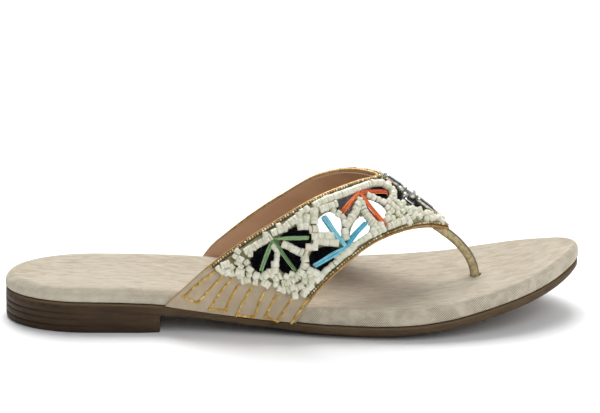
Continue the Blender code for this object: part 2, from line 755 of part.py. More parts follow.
def bead_guides(finish):
    """Guides for the openings in the bead field: the motifs and the jewels."""
    low, high = -GAP, BEAD_TOP + GUIDE_OVER
    guides = [setting_sheet("setting_opening", finish, BEAD_CLEAR, low, high)]
    for motif in MOTIFS:
        for side, mirrored, knot in motif_spots(motif):
            outline = on_wing(motif_opening(motif, mirrored), mirrored)
            count = len(outline)
            fan = [[k, (k + 1) % count, count] for k in range(count)]
            bm = bmesh.new()
            add_plate(bm, outline + [(0.0, 0.0)], fan, knot.bent, low, high)
            guides.append(add_object(f"opening_{motif.name}_{side}", finish, bm))
    return guides


def build_beads(finish):
    """The raised bead field over both wings, as one sheet with openings."""
    grids = {BEAD_TOP: [], GAP: []}
    for i in range(BEAD_ROWS + 1):
        for lift, grid in grids.items():
            row = []
            for c in range(BEAD_COLUMNS + 1):
                start = BEAD_END - BEAD_SLANT * c / BEAD_COLUMNS
                u = start + (1 - 2 * start) * i / BEAD_ROWS
                row.append(strap_point(u, between(u, BEAD_INSET, BEAD_COLUMNS)[c], lift))
            grid.append(row)
    field = shell("bead_field", finish, *grids.values())
    for guide in bead_guides(finish):
        cut(field, guide)


def stone_outline(stone):
    if stone.length is None:
        count = 12 if stone.width > 3 else 8
        angles = [2 * math.pi * k / count for k in range(count)]
        return [(stone.width / 2 * math.cos(a), stone.width / 2 * math.sin(a)) for a in angles]
    p, q, corner = stone.width / 2, stone.length / 2, STONE_CORNER
    return [(p, q - corner), (p - corner, q), (corner - p, q), (-p, q - corner),
            (-p, corner - q), (corner - p, -q), (p - corner, -q), (p, corner - q)]


def build_stones(finish):
    """Cut stones: a straight girdle, a sloped crown and a flat table."""
    low = GAP + SETTING_THICK + GAP
    for stone in STONES:
        there = Spot(0.5 + stone.off, stone.across)
        fold = strap_frame(there.u, there.v)[2]
        lean = math.degrees(math.atan2(fold @ there.q_axis, fold @ there.p_axis))
        points = turned(stone_outline(stone), lean - 90)
        high = low + STONE_HIGH + STONE_SLOPE * stone.width
        bm = bmesh.new()
        rings = []
        for lift, scale in ((low, 1.0), ((low + high) / 2, 1.0), (high, CROWN_SCALE)):
            rings.append([bm.verts.new(world(there.flat(p * scale, q * scale, lift)))
                          for p, q in points])
        bridge(bm, rings[0], rings[1])
        bridge(bm, rings[1], rings[2])
        bm.faces.new(rings[0])
        bm.faces.new(rings[2])
        add_object("stone_" + stone.name, finish, bm, smooth_angle=10.0)


# ---------------------------------------------------------------- toe post
def build_toe_post(finish, sides=10, steps=16):
    route = Curve(range(len(TOE_POST)), [(p.x, p.y, p.z) for p in TOE_POST])
    sizes = Curve(range(len(TOE_POST)), [(p.deep, p.wide) for p in TOE_POST])
    bm = bmesh.new()
    rings = []
    for i in range(steps + 1):
        t = (len(TOE_POST) - 1) * i / steps
        centre = route(t)
        along = route(t + 0.01) - route(t - 0.01)
        along /= np.linalg.norm(along)
        sideways = np.array([0.0, 1.0, 0.0])
        fore = np.cross(sideways, along)
        deep, wide = sizes(t) / 2
        rings.append([
            bm.verts.new(world(centre + fore * deep * math.cos(a) + sideways * wide * math.sin(a)))
            for a in (2 * math.pi * s / sides for s in range(sides))
        ])
    for ring, following in zip(rings, rings[1:]):
        bridge(bm, ring, following)
    bm.faces.new(rings[0])
    bm.faces.new(rings[-1])
    return add_object("toe_post", finish, bm, smooth_angle=60.0)


def post_hole(finish):
    """Guide for the round hole in the footbed that the toe post goes down."""
    foot = TOE_POST[-1]
    radius = foot.deep / 2 + HOLE_CLEAR
    bm = bmesh.new()
    bmesh.ops.create_cone(bm, cap_ends=True, segments=16, radius1=radius * MM, radius2=radius * MM,
                          depth=HOLE_HIGH * MM)
    low = foot.z - 2 * GAP
    bmesh.ops.translate(bm, verts=bm.verts, vec=world((foot.x, foot.y, low + HOLE_HIGH / 2)))
    return add_object("post_hole", finish, bm)


# ---------------------------------------------------------------- the shoe
def main():
    for old in list(bpy.data.objects):
        bpy.data.objects.remove(old)
    sole_brown = material("sole_brown", (0.050, 0.032, 0.018), 0.5)
    lift_brown = material("lift_brown", (0.040, 0.026, 0.016), 0.6)
    cream_cloth = material("cream_cloth", (0.58, 0.53, 0.43), 0.85)
    taupe_cloth = material("taupe_cloth", (0.45, 0.37, 0.27), 0.8)
    gold_leather = material("gold_leather", (0.55, 0.40, 0.16), 0.4, 0.5)
    gold_chain = material("gold_chain", (0.42, 0.33, 0.18), 0.35, 0.9)
    cream_bead = material("cream_bead", (0.62, 0.64, 0.50), 0.45)
    smoke_mirror = material("smoke_mirror", (0.03, 0.03, 0.035), 0.08, 1.0)
    silver_mirror = material("silver_mirror", (0.85, 0.87, 0.88), 0.05, 1.0)
    dark_metal = material("dark_metal", (0.25, 0.25, 0.24), 0.3, 1.0)
    crystal = material("crystal", (0.75, 0.76, 0.78), 0.05)
    raffia = {
        "green": material("raffia_green", (0.14, 0.36, 0.12), 0.5),
        "blue": material("raffia_blue", (0.10, 0.48, 0.62), 0.45),
        "orange": material("raffia_orange", (0.80, 0.12, 0.02), 0.45),
    }

    build_outsole(sole_brown)
    build_heel(sole_brown, lift_brown)
    footbed = build_footbed(cream_cloth)
    cut(footbed, post_hole(cream_cloth))
    build_toe_post(gold_leather)
    build_upper(taupe_cloth)
    build_edges(gold_leather, gold_chain)
    build_beads(cream_bead)
    build_mirrors({"smoke": smoke_mirror, "silver": silver_mirror})
    build_raffia(raffia)
    setting_sheet("jewel_setting", dark_metal, 0.0, GAP, GAP + SETTING_THICK)
    build_stones(crystal)


main()
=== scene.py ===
import math
import random
from functools import partial

import bmesh
import bpy
import numpy as np
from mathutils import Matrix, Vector


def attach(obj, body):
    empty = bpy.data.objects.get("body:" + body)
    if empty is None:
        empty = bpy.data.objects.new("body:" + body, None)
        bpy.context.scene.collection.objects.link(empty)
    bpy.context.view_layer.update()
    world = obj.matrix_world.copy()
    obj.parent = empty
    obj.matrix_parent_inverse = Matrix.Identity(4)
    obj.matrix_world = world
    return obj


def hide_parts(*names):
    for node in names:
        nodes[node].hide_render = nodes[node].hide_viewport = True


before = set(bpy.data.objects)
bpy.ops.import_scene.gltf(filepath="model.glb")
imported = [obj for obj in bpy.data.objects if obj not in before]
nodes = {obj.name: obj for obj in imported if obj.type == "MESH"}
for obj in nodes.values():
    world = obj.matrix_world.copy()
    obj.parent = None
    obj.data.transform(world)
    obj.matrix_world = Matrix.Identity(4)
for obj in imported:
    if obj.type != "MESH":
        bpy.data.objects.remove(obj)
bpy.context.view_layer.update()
mm = 0.001
print("frame loaded")


def srgb(hexText):
    channels = [int(hexText[i:i + 2], 16) / 255 for i in (1, 3, 5)]
    linear = [c / 12.92 if c <= 0.04045 else ((c + 0.055) / 1.055) ** 2.4 for c in channels]
    return (*linear, 1.0)


def addNode(tree, kind, inputs=None, stops=(), **settings):
    # inputs hold a value or another node's output for each socket, stops a ramp's places and colours
    node = tree.nodes.new(kind)
    for name, setting in settings.items():
        setattr(node, name, setting)
    for socket, given in (inputs or {}).items():
        if isinstance(given, bpy.types.NodeSocket):
            tree.links.new(given, node.inputs[socket])
        else:
            node.inputs[socket].default_value = given
    if stops:
        elements = node.color_ramp.elements
        while len(elements) < len(stops):
            elements.new(0.5)
        for element, (at, colour) in zip(elements, stops):
            element.position = at
            element.color = srgb(colour)
    return node.outputs


def newFinish(name):
    # a finish, and what adds a node to it
    finish = bpy.data.materials.new(name)
    finish.use_nodes = True
    finish.node_tree.nodes.clear()
    return finish, partial(addNode, finish.node_tree)


def ended(finish, inputs, height=None, depth=0.0, strength=1.0):
    # the finish with its shader, its surface lifted by a height as deep as depth, in mm
    add = partial(addNode, finish.node_tree)
    if height:
        lifted = add("ShaderNodeBump", {"Height": height, "Distance": depth * mm, "Strength": strength})[0]
        inputs = {**inputs, "Normal": lifted}
    shader = add("ShaderNodeBsdfPrincipled", inputs)[0]
    add("ShaderNodeOutputMaterial", {"Surface": shader})
    return finish


def perMm(size):
    return 1 / (size * mm)      # texture scale, in repeats per metre, of a feature of that size


def share(add, span=(), attribute=None, size=None, detail=3.0, rough=0.55, drawn=(1, 1, 1)):
    # a share at each place: an attribute's, or from marks of a size in mm drawn out by a scale, or else
    # the place along the shoe in metres. span: its low and high, and what they are turned into
    if attribute:
        value = add("ShaderNodeAttribute", attribute_name=attribute)["Fac"]
    else:
        value = add("ShaderNodeTexCoord")["Object"]
    if size:
        value = add("ShaderNodeMapping", {"Vector": value, "Scale": drawn})[0]
        value = add("ShaderNodeTexNoise", {"Vector": value, "Scale": perMm(size), "Detail": detail,
                                           "Roughness": rough})[0]
    elif not attribute:
        value = add("ShaderNodeSeparateXYZ", {0: value})[0]
    return add("ShaderNodeMapRange", dict(enumerate((value, *span))))[0] if span else value


def layered(name, shader, layers, grain=None, depth=0.0, strength=1.0):
    # a finish from layers, the lowest first: a colour, or stops and the share they follow, and then
    # the share of the layers below that it covers. A share in shader, such as roughness, is drawn too
    finish, add = newFinish(name)
    colour = None
    for stops, marks, cover in layers:
        over = add("ShaderNodeValToRGB", {0: share(add, **marks)}, stops)[0] if marks else srgb(stops)
        if cover:
            colour = add("ShaderNodeMix", {0: share(add, **cover), 6: colour, 7: over}, data_type="RGBA")[2]
        else:
            colour = over
    shader = {socket: share(add, **value) if isinstance(value, dict) else value
              for socket, value in shader.items()}
    height = share(add, **grain) if grain else None
    return ended(finish, {"Base Color": colour, **shader}, height, depth, strength)


def mouldedSole(name, dark, light):
    # thermoplastic rubber from a mould: dull sheen, faint flow marks, a painted highlight lightening the
    # faces that turn upward, and a lighter brown where the sole is thin
    flow = {"size": 7, "drawn": (0.5, 1, 2.5)}
    grain = {**flow, "size": 0.9}
    return layered(name, {"Roughness": {**grain, "span": (0.3, 0.7, 0.5, 0.68)}, "IOR": 1.38}, [
        ([(0.35, dark), (0.68, light)], flow, None),
        ([(0.35, "#4a3821"), (0.68, "#5e4b31")], flow, {"span": (-0.064, -0.054)}),
        ("#6e5a42", None, {"attribute": "upFacingHighlight"})], grain, 0.12, 0.5)


def twillCloth():
    # cotton twill glued over the board: dull, rubbed grey-brown in patches with dark slubs. Real ribs
    # are 0.4 mm apart, too fine to show, so they are drawn 0.72 mm apart
    finish, add = newFinish("cottonTwill")
    streaks = share(add, size=1.6, detail=5.0, rough=0.7, drawn=(0.2, 1, 0.6))
    top = add("ShaderNodeValToRGB", {0: streaks}, [(0.32, "#9a8d79"), (0.5, "#afa592"), (0.66, "#bab19f")])[0]
    # painted light: the side takes lighter colours than the top, making up for the little light that reaches
    # it
    edge = add("ShaderNodeValToRGB", {0: streaks}, [(0.34, "#cbc1ac"), (0.66, "#dad1be")])[0]
    side = share(add, attribute="side")
    cloth = add("ShaderNodeMix", {0: side, 6: top, 7: edge}, data_type="RGBA")[2]
    rubbed = share(add, (0, 1, 0.55, 0.15), "side")
    patches = share(add, (0.52, 0.66), size=13, detail=8.0, rough=0.75, drawn=(0.6, 1, 1))
    slubs = share(add, (0.5, 0.68), size=0.9, detail=2.0, drawn=(0.5, 1, 1))
    for marks, colour in ((patches, "#a8967e"), (slubs, "#7d6c55")):
        rubbed = add("ShaderNodeMath", {0: marks, 1: rubbed}, operation="MULTIPLY")[0]
        cloth = add("ShaderNodeMix", {0: rubbed, 6: cloth, 7: srgb(colour)}, data_type="RGBA")[2]
    coords = add("ShaderNodeTexCoord")["Object"]
    slanted = add("ShaderNodeMapping", {"Vector": coords, "Rotation": (0.0, -0.7, 0.35)})[0]
    period = 0.314      # a wave texture's own, in units
    ribs = add("ShaderNodeTexWave", {"Vector": slanted, "Scale": period * perMm(0.72), "Detail": 2.0,
                                     "Distortion": 1.0, "Detail Scale": 1.0})["Fac"]
    for fade in (share(add, (0, 1, 0.5), "side"), share(add, (0.4, 0.6, 0.3), size=6, detail=4.0),
                 share(add, (-0.08, 0.02, 0.5))):
        ribs = add("ShaderNodeMath", {0: ribs, 1: fade}, operation="MULTIPLY")[0]
    shade = add("ShaderNodeMapRange", {0: ribs, 4: 0.9})[0]
    cloth = add("ShaderNodeMix", {0: shade, 6: cloth, 7: srgb("#887a64")}, data_type="RGBA")[2]
    return ended(finish, {"Base Color": cloth, "Roughness": 0.9, "IOR": 1.45, "Sheen Weight": 0.1},
                 ribs, 0.1, 0.5)


def goldLeather(name, dark, mid, light, edge, rough):
    # foil-coated leather: warm metallic sheen, rubbed to bare leather where the edge attribute says so; on
    # the toe post that attribute marks painted shade along its sides
    return layered(name, {"Metallic": 0.45, "Roughness": rough}, [
        ([(0.32, dark), (0.5, mid), (0.68, light)], {"size": 1.6, "detail": 4.0, "rough": 0.65}, None),
        (edge, None, {"attribute": "edge"})], {"size": 0.7}, 0.12, 0.5)


def mirrorGlass(name, tint, fleck, rough):
    # foil-backed mirror: nearly sharp reflections, slightly wavy, with pale flecks in the foil
    flecks = {"size": 0.9, "detail": 4.0, "rough": 0.7, "span": (0.54, 0.7, 0, 0.6)}
    return layered(name, {"Metallic": 1.0, "Roughness": rough}, [(tint, None, None), (fleck, None, flecks)],
                   {"size": 5}, 0.06, 0.35)


def raffiaFibre(name, dark, mid, light):
    # split raffia: satin fibres, each its own tone and streaked along its length
    finish, add = newFinish(name)
    streak = share(add, size=0.9)
    tone = {0: streak, 1: 0.6, 2: share(add, attribute="tone")}
    tone = add("ShaderNodeMath", tone, operation="MULTIPLY_ADD")[0]
    colour = add("ShaderNodeValToRGB", {0: tone}, [(0.3, dark), (0.75, mid), (1.0, light)])[0]
    return ended(finish, {"Base Color": colour, "Roughness": 0.4, "Sheen Weight": 0.1}, streak, 0.1, 0.5)


def cutStone(name, tint, metallic, rough, gloss=0.5):
    # cut glass stone: foil-backed ones mirror the room, dark ones stay black with small glints
    return layered(name, {"Metallic": metallic, "Roughness": rough, "Specular IOR Level": gloss},
                   [(tint, None, None)], {"size": 1.2}, 0.04, 0.3)


soleFinish = mouldedSole("mouldedRubber", "#35240f", "#453119")
liftFinish = mouldedSole("wornRubber", "#322210", "#412e1a")
twill = twillCloth()
pipingFinish = goldLeather("goldFoilLeather", "#a97a3a", "#c79a55", "#e0bd80", "#bca887", 0.42)
# its dark edge colour is painted shade along the toe post's sides
postFinish = goldLeather("paleGoldLeather", "#a8976d", "#c6b68a", "#e0d3a8", "#5d5543", 0.4)
# one mirror glass in three tints chosen petal by petal: smoke and grey are painted dark reflections, silver a
# painted bright reflection
glass = {
    "smoke": mirrorGlass("darkReflectionMirror", "#1d1c1f", "#79787d", 0.1),
    "grey": mirrorGlass("greyReflectionMirror", "#393637", "#858082", 0.22),
    "silver": mirrorGlass("brightReflectionMirror", "#f4f6f7", "#e6e9ea", 0.04),
}
fibres = {
    "green": raffiaFibre("greenRaffia", "#3d6238", "#648d56", "#a3c38d"),
    "blue": raffiaFibre("blueRaffia", "#2f9cc0", "#58c6e0", "#9be0ee"),
    "orange": raffiaFibre("orangeRaffia", "#a02200", "#ea5006", "#fb8f48"),
}
gems = {
    "clear": cutStone("clearCutGlass", "#e6e8ea", 0.6, 0.06),
    "dark": cutStone("darkCutGlass", "#0c0c0d", 0.0, 0.35, 0.15),
    "rose": cutStone("roseCutGlass", "#c78f8c", 0.3, 0.1),
}
ownTone = {"attribute": "tone"}     # each repeated unit's own
# smooth tan lining leather: satin, fine pores, faint creases, and painted shade making it darker toward the
# ridge
creases = {"size": 12, "drawn": (0.5, 1, 1)}
lining = layered("liningLeather", {"Roughness": 0.5}, [
    ([(0.3, "#cea585"), (0.7, "#ddb698")], creases, None),
    # painted shade: this darker layer covers the lining toward the ridge, where the ridge shades it
    ([(0.3, "#9c7553"), (0.7, "#ac835f")], creases, {"span": (-0.015, 0.04)})],
    {**creases, "size": 1.1, "detail": 4.0}, 0.1, 0.4)
# cut and tumbled shell discs: chalky satin, each a little different, faintly stained
shell = layered("tumbledShell", {"Roughness": 0.48, "IOR": 1.53}, [
    ([(0.0, "#dedec4"), (0.5, "#ebe9d3"), (0.85, "#f4f2e2"), (1.0, "#eee2cc")], ownTone, None),
    ("#cfccac", None, {"size": 1.7, "span": (0.45, 0.75, 0, 0.35)})], {"size": 0.5}, 0.06, 0.5)
# suede-finished leather: dull, fine nap, slightly mottled
taupe = layered("nappedLeather", {"Roughness": 0.85, "Sheen Weight": 0.1}, [
    ([(0.3, "#b5a389"), (0.7, "#c8b79c")], {"size": 5, "detail": 4.0}, None)], {"size": 0.5}, 0.1, 0.5)
# cotton sheet between the beads, its dark olive a painted shade between them
beadGapShadeCloth = layered("beadGapShadeBacking", {"Roughness": 0.9}, [
    ([(0.3, "#8b8766"), (0.7, "#b0ab8a")], {"size": 2}, None)])
# waxed cotton braid under the chain: dull dark brown
braid = layered("braidBed", {"Roughness": 0.8}, [
    ([(0.35, "#4a3a22"), (0.65, "#7d673f")], {"size": 0.8}, None)], {"size": 0.8}, 0.2)
# darkened brass: each bead its own tone, from brown to near white
brass = layered("agedBrass", {"Metallic": 0.7, "Roughness": 0.3}, [
    ([(0.0, "#86704a"), (0.5, "#c8b484"), (1.0, "#fff9e6")], ownTone, None)])
# twisted metallic sewing thread: small bright glints
thread = layered("metallicThread", {"Metallic": 0.35, "Roughness": 0.42}, [
    ([(0.0, "#b98e3a"), (0.6, "#dbb152"), (1.0, "#f3d684")], ownTone, None)])
# darkened, polished cast metal
gun = layered("gunMetal", {"Metallic": 1.0, "Roughness": 0.25}, [
    ([(0.35, "#1c1b18"), (0.65, "#4a4841")], {"size": 0.9}, None)], {"size": 0.9}, 0.15, 0.6)
# silver-plated claws and frames: bright, softly polished
plated = layered("silverPlate", {"Metallic": 0.75, "Roughness": 0.2}, [
    ([(0.35, "#8f8c82"), (0.65, "#e6e4dc")], {"size": 0.8}, None)])
print("finishes made")


def onFrame(piece, slotName, *stoodFor):
    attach(piece, "root")
    if stoodFor:
        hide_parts(*stoodFor)
    return piece


def meshObject(name, mesh, *finishes):
    mesh.materials.clear()
    for finish in finishes:
        mesh.materials.append(finish)
    made = bpy.data.objects.new(name, mesh)
    bpy.context.scene.collection.objects.link(made)
    return made


def addRings(bm, rings, capped=True):
    # faces from each closed ring of points to the next, with one face over each end
    rings = [[bm.verts.new(point) for point in ring] for ring in rings]
    for ring, following in zip(rings, rings[1:]):
        for k in range(len(ring)):
            j = (k + 1) % len(ring)
            bm.faces.new((ring[k], ring[j], following[j], following[k]))
    if capped:
        bm.faces.new(rings[0])
        bm.faces.new(rings[-1])
    return rings


def smoothPiece(name, bm, sharpFrom, *finishes):
    # a piece with faces outward, smooth but for edges sharper than an angle
    bmesh.ops.recalc_face_normals(bm, faces=bm.faces)
    chosen = [one.material_index for one in bm.faces]
    mesh = bpy.data.meshes.new(name)
    bm.to_mesh(mesh)
    bm.free()
    mesh.shade_smooth()
    mesh.set_sharp_from_angle(angle=math.radians(sharpFrom))
    piece = meshObject(name, mesh, *finishes)
    mesh.polygons.foreach_set("material_index", chosen)
    return piece


def ringPiece(name, rings, sharpFrom, *finishes):
    bm = bmesh.new()
    addRings(bm, rings)
    return smoothPiece(name, bm, sharpFrom, *finishes)


def markPoints(piece, name, shares):
    mark = piece.data.attributes.new(name, "FLOAT", "POINT")
    mark.data.foreach_set("value", shares)
    return piece


def applied(piece):
    # the piece as its modifiers leave it, as a plain mesh
    bpy.context.view_layer.update()
    graph = bpy.context.evaluated_depsgraph_get()
    mesh = bpy.data.meshes.new_from_object(piece.evaluated_get(graph), depsgraph=graph)
    piece.modifiers.clear()
    piece.data = mesh
    return piece


soles = {"merge": 0.002, "flat": 0.6, "even": 1.2, "creaseAngle": 32, "crease": 0.9, "rounds": 2}


def softCopy(nodeName, name, finish, markName, low, high):
    # a merged, rounded copy of one of the frame's solids, with an attribute that grows from 0 to 1 as
    # a face turns from the low to the high upward share
    bm = bmesh.new()
    bm.from_mesh(nodes[nodeName].data)
    bmesh.ops.remove_doubles(bm, verts=bm.verts, dist=soles["merge"] * mm)
    bmesh.ops.join_triangles(bm, faces=bm.faces, angle_face_threshold=soles["flat"],
                             angle_shape_threshold=soles["even"])
    creases = bm.edges.layers.float.new("crease_edge")
    for edge in bm.edges:
        if len(edge.link_faces) == 2 and edge.calc_face_angle() > math.radians(soles["creaseAngle"]):
            edge[creases] = soles["crease"]
    mesh = bpy.data.meshes.new(name)
    bm.to_mesh(mesh)
    bm.free()
    piece = meshObject(name, mesh, finish)
    rounding = piece.modifiers.new("rounding", "SUBSURF")
    rounding.levels = rounding.render_levels = soles["rounds"]
    applied(piece)
    piece.data.shade_smooth()
    normals = np.empty(len(piece.data.vertices) * 3, np.float32)
    piece.data.vertex_normals.foreach_get("vector", normals)
    upward = (normals.reshape(-1, 3)[:, 2] - low) / (high - low)
    return markPoints(piece, markName, np.clip(upward, 0, 1).astype(np.float32))


# the outsole's upward faces carry a painted highlight, lighter than the rubber
onFrame(softCopy("outsole", "outsoleShell", soleFinish, "upFacingHighlight", 0.1, 0.7), "sole_brown", "outsole")
# its side attribute also carries painted light, making the footbed's side lighter than its top
onFrame(softCopy("footbed", "footbedCloth", twill, "side", 0.985, 0.6), "cream_cloth", "footbed")

# the heel's side is one skin a hair proud of the outsole's, which it also covers, with soft grooves
# that fade to the front
heel = {"proud": 0.33, "deep": 0.3, "half": 0.3, "liftTop": 3.1, "groove": 6.4, "soleGroove": -0.1,
        "overSole": 3.1, "fadeFrom": -112.0, "fadeTo": -66.0, "least": 0.12, "frontBack": 0.7, "tall": 3.0,
        "clear": 0.05, "sharpFrom": 55}


def heelOutline():
    # loop of the heel stack's widest ring, with the top of the stack over each point
    heights = {}
    for vertex in nodes["heel_stack"].data.vertices:
        x, y, z = (round(c / mm, 2) for c in vertex.co)
        heights.setdefault((x, y), []).append(z)
    base = min(z for zs in heights.values() for z in zs)
    tall = [(x, y, max(zs)) for (x, y), zs in heights.items()
            if max(zs) - min(zs) > heel["tall"] and min(zs) > base + heel["clear"]]
    middle = sum(x for x, _, _ in tall) / len(tall)
    return sorted(tall, key=lambda p: math.atan2(p[1], p[0] - middle))


def heelSkin(name, finish, levels):
    # levels: from the stack's top or the floor, height, how far out, and the share of a groove
    loop = np.array(heelOutline())
    flat = loop[:, :2]
    along = np.roll(flat, -1, axis=0) - np.roll(flat, 1, axis=0)
    along /= np.linalg.norm(along, axis=1)[:, None]
    outward = np.stack([along[:, 1], -along[:, 0]], axis=1)
    fade = np.clip((heel["fadeTo"] - flat[:, 0]) / (heel["fadeTo"] - heel["fadeFrom"]), heel["least"], 1)
    back = heel["frontBack"] * np.maximum(0.0, outward[:, 0]) ** 4
    rings = []
    for fromTop, high, out, groove in levels:
        points = flat + outward * (out - back - groove * heel["deep"] * fade)[:, None]
        heights = high + loop[:, 2] * fromTop
        rings.append([(x * mm, y * mm, z * mm) for (x, y), z in zip(points, heights)])
    return ringPiece(name, rings, heel["sharpFrom"], finish)


out, top, half, over = (heel[size] for size in ("proud", "liftTop", "half", "overSole"))
grooves = [(fromTop, middle + side * half, out, int(side == 0))
           for fromTop, middle in ((0, heel["groove"]), (1, heel["soleGroove"])) for side in (-1, 0, 1)]
onFrame(heelSkin("heelSkin", soleFinish, [
    (0, top + 0.02, out, 1), (0, top + half, out, 0), *grooves,
    (1, over, out - 0.1, 0), (1, over + 0.3, out - 0.5, 0)]), "sole_brown", "heel_stack")
onFrame(heelSkin("heelTopLift", liftFinish, [
    (0, 0.0, out - 0.8, 0), (0, 0.2, out - 0.35, 0), (0, 0.6, out - 0.08, 0), (0, 1.1, out, 0),
    (0, top - half, out, 0), (0, top, out, 1)]), "lift_brown", "heel_lift")
print("sole and footbed dressed")


# the strap's own surface: u runs along it from the outer base to the inner base, v across it from the
# rear edge to the front edge. Rows: place along, then in mm from the heel end the rear edge, the
# front edge and the swell between them
strap = {
    "heelEnd": -128.0, "heelLine": -1.51, "wall": 2.2, "thinWall": 1.4, "thinTo": 0.1, "lining": 0.9,
    "steps": (120, 20), "leatherIn": 0.5, "liningIn": (0.8, 0.12), "liningOff": 0.02,
    "rows": [
        (0.000, (72.0, -29.1, 12.9), (129.6, -34.6, 7.1), (0.0, 1.0, -0.9)),
        (0.038, (78.6, -29.7, 19.6), (134.2, -35.7, 15.0), (0.0, 1.1, 0.0)),
        (0.100, (90.0, -28.9, 30.4), (140.3, -33.6, 22.6), (0.0, -1.0, 0.2)),
        (0.175, (103.8, -26.4, 40.4), (150.7, -29.2, 31.3), (0.0, -1.8, 0.9)),
        (0.250, (118.4, -23.7, 49.2), (161.9, -23.8, 38.8), (0.0, -1.9, 1.6)),
        (0.350, (138.4, -16.9, 59.4), (176.7, -13.3, 42.2), (0.0, -1.5, 2.4)),
        (0.435, (155.4, -6.8, 63.4), (188.8, -3.2, 41.3), (0.0, -0.6, 2.1)),
        (0.500, (165.3, 4.5, 63.2), (197.8, 4.5, 38.0), (0.0, 0.0, 1.0)),
        (0.565, (155.4, 14.0, 62.8), (189.3, 11.0, 40.0), (0.0, 0.6, 2.1)),
        (0.650, (140.0, 21.5, 58.0), (179.0, 18.0, 40.8), (0.0, 1.3, 2.5)),
        (0.750, (122.9, 26.8, 46.8), (166.5, 27.0, 36.5), (0.0, 1.8, 1.7)),
        (0.825, (110.6, 29.3, 37.8), (158.0, 32.2, 31.0), (0.0, 1.8, 0.9)),
        (0.900, (98.5, 31.2, 27.7), (149.0, 35.8, 23.0), (0.0, 1.0, 0.2)),
        (0.962, (89.8, 31.3, 19.6), (142.6, 38.2, 15.0), (0.0, -1.1, 0.0)),
        (1.000, (84.0, 30.5, 11.5), (137.0, 36.8, 6.6), (0.0, -1.1, -0.9)),
    ],
}


class Curve:
    def __init__(self, places, rows):
        self.at, self.rows = np.array(places, float), np.array(rows, float)
        run = np.diff(self.at)
        rise = np.diff(self.rows, axis=0) / run[:, None]
        inner = (rise[:-1] * run[1:, None] + rise[1:] * run[:-1, None]) / (run[:-1] + run[1:])[:, None]
        self.slopes = np.vstack([rise[:1], inner, rise[-1:]])

    def __call__(self, at):
        i = int(min(max(np.searchsorted(self.at, at) - 1, 0), len(self.at) - 2))
        run = self.at[i + 1] - self.at[i]
        t = (at - self.at[i]) / run
        if t < 0 or t > 1:
            end = i if t < 0 else i + 1
            return self.rows[end] + self.slopes[end] * (at - self.at[end])
        a, b, m, n = self.rows[i], self.rows[i + 1], self.slopes[i] * run, self.slopes[i + 1] * run
        return (a * (2 * t**3 - 3 * t**2 + 1) + b * (3 * t**2 - 2 * t**3)
                + m * (t**3 - 2 * t**2 + t) + n * (t**3 - t**2))


foldAt, rearPoints, frontPoints, swells = zip(*strap["rows"])
rearEdge, frontEdge, swell = (Curve(foldAt, points) for points in (rearPoints, frontPoints, swells))


def face(u, v):
    rear, front = rearEdge(u), frontEdge(u)
    return rear + (front - rear) * v + swell(u) * 4 * v * (1 - v)


def frameAt(u, v):
    small = 1e-3
    along = (face(u + small, v) - face(u - small, v)) / (2 * small)
    across = (face(u, v + small) - face(u, v - small)) / (2 * small)
    normal = np.cross(across, along)
    return face(u, v), along, across, normal / np.linalg.norm(normal)


def place(u, v, lift=0.0):
    point, _, _, normal = frameAt(u, v)
    return point + normal * lift


def toWorld(point):
    return Vector(((point[0] + strap["heelEnd"]) * mm, (point[1] + strap["heelLine"]) * mm, point[2] * mm))


def edgeV(u, inset, edge):
    _, along, across, _ = frameAt(u, 0.5)
    slant = np.linalg.norm(np.cross(along, across)) / np.linalg.norm(along) / np.linalg.norm(across)
    share = inset / slant / np.linalg.norm(frontEdge(u) - rearEdge(u))
    return share if edge == "rear" else 1 - share


class Spot:
    # a place on the strap with its tangent frame: p along the strap, q toward its front edge
    def __init__(self, u, v):
        self.u, self.v = u, v
        self.point, along, across, self.normal = frameAt(u, v)
        self.p = along / np.linalg.norm(along)
        self.q = np.cross(self.normal, self.p)
        if self.q @ across < 0:
            self.q = -self.q
        self.toUv = np.linalg.inv([[along @ self.p, across @ self.p], [along @ self.q, across @ self.q]])

    def bent(self, p, q, lift):
        du, dv = self.toUv @ np.array([p, q])
        return place(self.u + du, self.v + dv, lift)

    def flat(self, p, q, lift):
        return self.point + self.p * p + self.q * q + self.normal * lift

    def seen(self, point):
        step = point - self.point
        return step @ self.p, step @ self.q


def sheetPiece(name, outer, inner, finish):
    # closed sheet between two grids of points
    bm = bmesh.new()
    grids = [[[bm.verts.new(toWorld(p)) for p in row] for row in grid] for grid in (outer, inner)]
    for grid in grids:
        for row, following in zip(grid, grid[1:]):
            for k in range(len(row) - 1):
                bm.faces.new((row[k], row[k + 1], following[k + 1], following[k]))
    first, second = grids
    columns = [[[row[end] for row in grid] for grid in grids] for end in (0, -1)]
    for a, b in ((first[0], second[0]), (first[-1], second[-1]), *columns):
        for k in range(len(a) - 1):
            bm.faces.new((a[k], a[k + 1], b[k + 1], b[k]))
    return smoothPiece(name, bm, 50, finish)


def wallAt(u):
    # the strap's whole thickness, thinner at its two ends
    return strap["thinWall"] + (strap["wall"] - strap["thinWall"]) * min(1.0, min(u, 1 - u) / strap["thinTo"])


def leatherAt(u):
    return wallAt(u) - strap["lining"]


def strapGrid(depth, inset):
    rows, columns = strap["steps"]
    grid = []
    for i in range(rows + 1):
        u = i / rows
        low, high = edgeV(u, inset, "rear"), edgeV(u, inset, "front")
        grid.append([place(u, low + (high - low) * c / columns, -depth(u)) for c in range(columns + 1)])
    return grid


